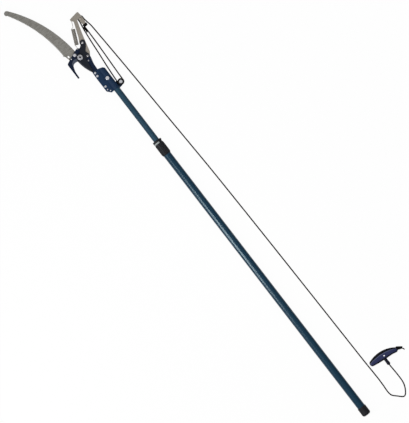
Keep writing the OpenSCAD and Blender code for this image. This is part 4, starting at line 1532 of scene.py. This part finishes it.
@dataclass
class Studio:
    """The floor, the lights and the camera.

    Attributes:
        axes: the pole's axes.
        centre: the place that the picture's middle shows.
        right: the way to the picture's right, on the pole's axes.
        up: the way to the picture's top, on the pole's axes.
        mm_per_pixel: the scale of the picture.
        picture: the picture's width and height in pixels.
        height: how far the camera hangs above the floor, in metres.
        floor_glow: how much of the floor's look is its own light.
        floor_half: half of the floor's side, in metres.
        floor_z: the floor's height, just under the tool, in metres.
        room_light: the room's light from the side and from above.
        lamps: a strip lamp whose streak shows on the pole, and a soft fill that shows nowhere.
    """

    axes: PoleAxes
    centre: Pair = (-521.7, 18.6)
    right: Point = (-0.6095, -0.7928, 0.0)
    up: Point = (0.7928, -0.6095, 0.0)
    mm_per_pixel: float = 3.55
    picture: tuple[int, int] = (409, 423)
    height: float = 14.0
    floor_glow: float = 0.97
    floor_half: float = 30.0
    floor_z: float = -0.0005
    room_light: Pair = (0.01, 0.16)
    lamps: tuple[Lamp, ...] = (Lamp("key", (-690, 1800, 2000), (0.35, 2.4), 60.0, mirrored=True),
                               Lamp("fill", (-150, -1700, 2300), (1.6, 1.6), 27.0, mirrored=False))

    def build(self) -> None:
        """Sets up the whole studio."""
        self.camera()
        self.floor()
        self.room()
        for lamp in self.lamps:
            self.hang(lamp)
        bpy.context.scene.view_settings.view_transform = "Standard"

    def camera(self) -> None:
        """Hangs a long-lens camera straight above the tool."""
        lens = bpy.data.cameras.new("camera")
        lens.sensor_fit = "AUTO"
        reach = max(self.picture) * self.mm_per_pixel * MM
        lens.angle = 2 * math.atan(reach / 2 / self.height)
        lens.clip_end = 100
        camera = bpy.data.objects.new("camera", lens)
        back = Vector(self.right).cross(Vector(self.up))
        turn = Matrix((self.right, self.up, back)).transposed().to_4x4()
        place = self.axes.at(*self.centre) + Vector((0, 0, self.height))
        camera.matrix_world = Matrix.Translation(place) @ turn
        bpy.context.collection.objects.link(camera)
        bpy.context.scene.camera = camera

    def floor(self) -> None:
        """Lays a pale floor that keeps a soft shadow and throws little light back."""
        corners = [Vector((x * self.floor_half, y * self.floor_half, self.floor_z))
                   for x, y in ((-1, -1), (1, -1), (1, 1), (-1, 1))]
        floor = mesh_object("floor", corners, [[0, 1, 2, 3]], smooth=False)
        material = bpy.data.materials.new("floor")
        material.use_nodes = True
        nodes, links = material.node_tree.nodes, material.node_tree.links
        matt = nodes["Principled BSDF"]
        matt.inputs["Base Color"].default_value = (0.3, 0.3, 0.3, 1)
        matt.inputs["Roughness"].default_value = 0.9
        matt.inputs["Specular IOR Level"].default_value = 0.0
        pale = nodes.new("ShaderNodeBsdfDiffuse")
        pale.inputs["Color"].default_value = (0.9, 0.9, 0.9, 1)
        glow = nodes.new("ShaderNodeEmission")
        glow.inputs["Strength"].default_value = 1.0
        shown = nodes.new("ShaderNodeMixShader")
        shown.inputs["Fac"].default_value = self.floor_glow
        links.new(pale.outputs["BSDF"], shown.inputs[1])
        links.new(glow.outputs["Emission"], shown.inputs[2])
        mix = nodes.new("ShaderNodeMixShader")
        links.new(self.looked_at(material.node_tree), mix.inputs["Fac"])
        links.new(matt.outputs["BSDF"], mix.inputs[1])
        links.new(shown.outputs["Shader"], mix.inputs[2])
        links.new(mix.outputs["Shader"], nodes["Material Output"].inputs["Surface"])
        floor.data.materials.append(material)

    def looked_at(self, tree: bpy.types.NodeTree) -> bpy.types.NodeSocket:
        """Tells the rays that show a surface from those that only light others by it.

        Args:
            tree: the material's node tree.

        Returns:
            1 for a ray from the camera, a mirror or glass, and 0 for the rest.
        """
        path = tree.nodes.new("ShaderNodeLightPath")
        shown = path.outputs["Is Camera Ray"]
        for ray in ("Is Glossy Ray", "Is Transmission Ray"):
            either = tree.nodes.new("ShaderNodeMath")
            either.operation = "MAXIMUM"
            tree.links.new(shown, either.inputs[0])
            tree.links.new(path.outputs[ray], either.inputs[1])
            shown = either.outputs["Value"]
        return shown

    def room(self) -> None:
        """Makes a room that is bright above and dim around, with a white backdrop."""
        dim_z, bright_z = 0.1, 0.95
        world = bpy.data.worlds.new("room")
        world.use_nodes = True
        nodes, links = world.node_tree.nodes, world.node_tree.links
        sky = nodes["Background"]
        way = nodes.new("ShaderNodeTexCoord")
        split = nodes.new("ShaderNodeSeparateXYZ")
        links.new(way.outputs["Generated"], split.inputs["Vector"])
        sky.inputs["Color"].default_value = (1, 1, 1, 1)
        rise = nodes.new("ShaderNodeMapRange")
        rise.interpolation_type = "SMOOTHSTEP"
        rise.inputs["From Min"].default_value = dim_z
        rise.inputs["From Max"].default_value = bright_z
        rise.inputs["To Min"].default_value, rise.inputs["To Max"].default_value = self.room_light
        links.new(split.outputs["Z"], rise.inputs["Value"])
        backdrop = nodes.new("ShaderNodeMix")
        backdrop.inputs["B"].default_value = 1.0
        links.new(nodes.new("ShaderNodeLightPath").outputs["Is Camera Ray"], backdrop.inputs["Factor"])
        links.new(rise.outputs["Result"], backdrop.inputs["A"])
        links.new(backdrop.outputs["Result"], sky.inputs["Strength"])
        bpy.context.scene.world = world

    def hang(self, lamp: Lamp) -> None:
        """Hangs a lamp and aims it at the picture's middle.

        Args:
            lamp: the lamp.
        """
        light = bpy.data.lights.new(lamp.name, "AREA")
        light.shape = "RECTANGLE"
        light.size, light.size_y = lamp.size
        light.energy = lamp.power
        holder = bpy.data.objects.new(lamp.name, light)
        holder.visible_glossy = lamp.mirrored
        place = self.axes.at(*lamp.place)
        aim = self.axes.at(*self.centre) - place
        turn = aim.to_track_quat("-Z", "Y").to_matrix().to_4x4()
        holder.matrix_world = Matrix.Translation(place) @ turn
        bpy.context.collection.objects.link(holder)


def main() -> None:
    """Builds the studio and every sub-assembly."""
    logging.basicConfig(level=logging.INFO, format="%(name)s: %(message)s")
    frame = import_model()
    axes = PoleAxes.from_frame(frame)
    finishes = Finishes()
    Studio(axes).build()
    for assembly in (Tackle, Pole, HeadPlates, Cutter, PullHandle):
        assembly(axes, frame["nodes"], finishes).build()


if __name__ == "__main__":
    main()
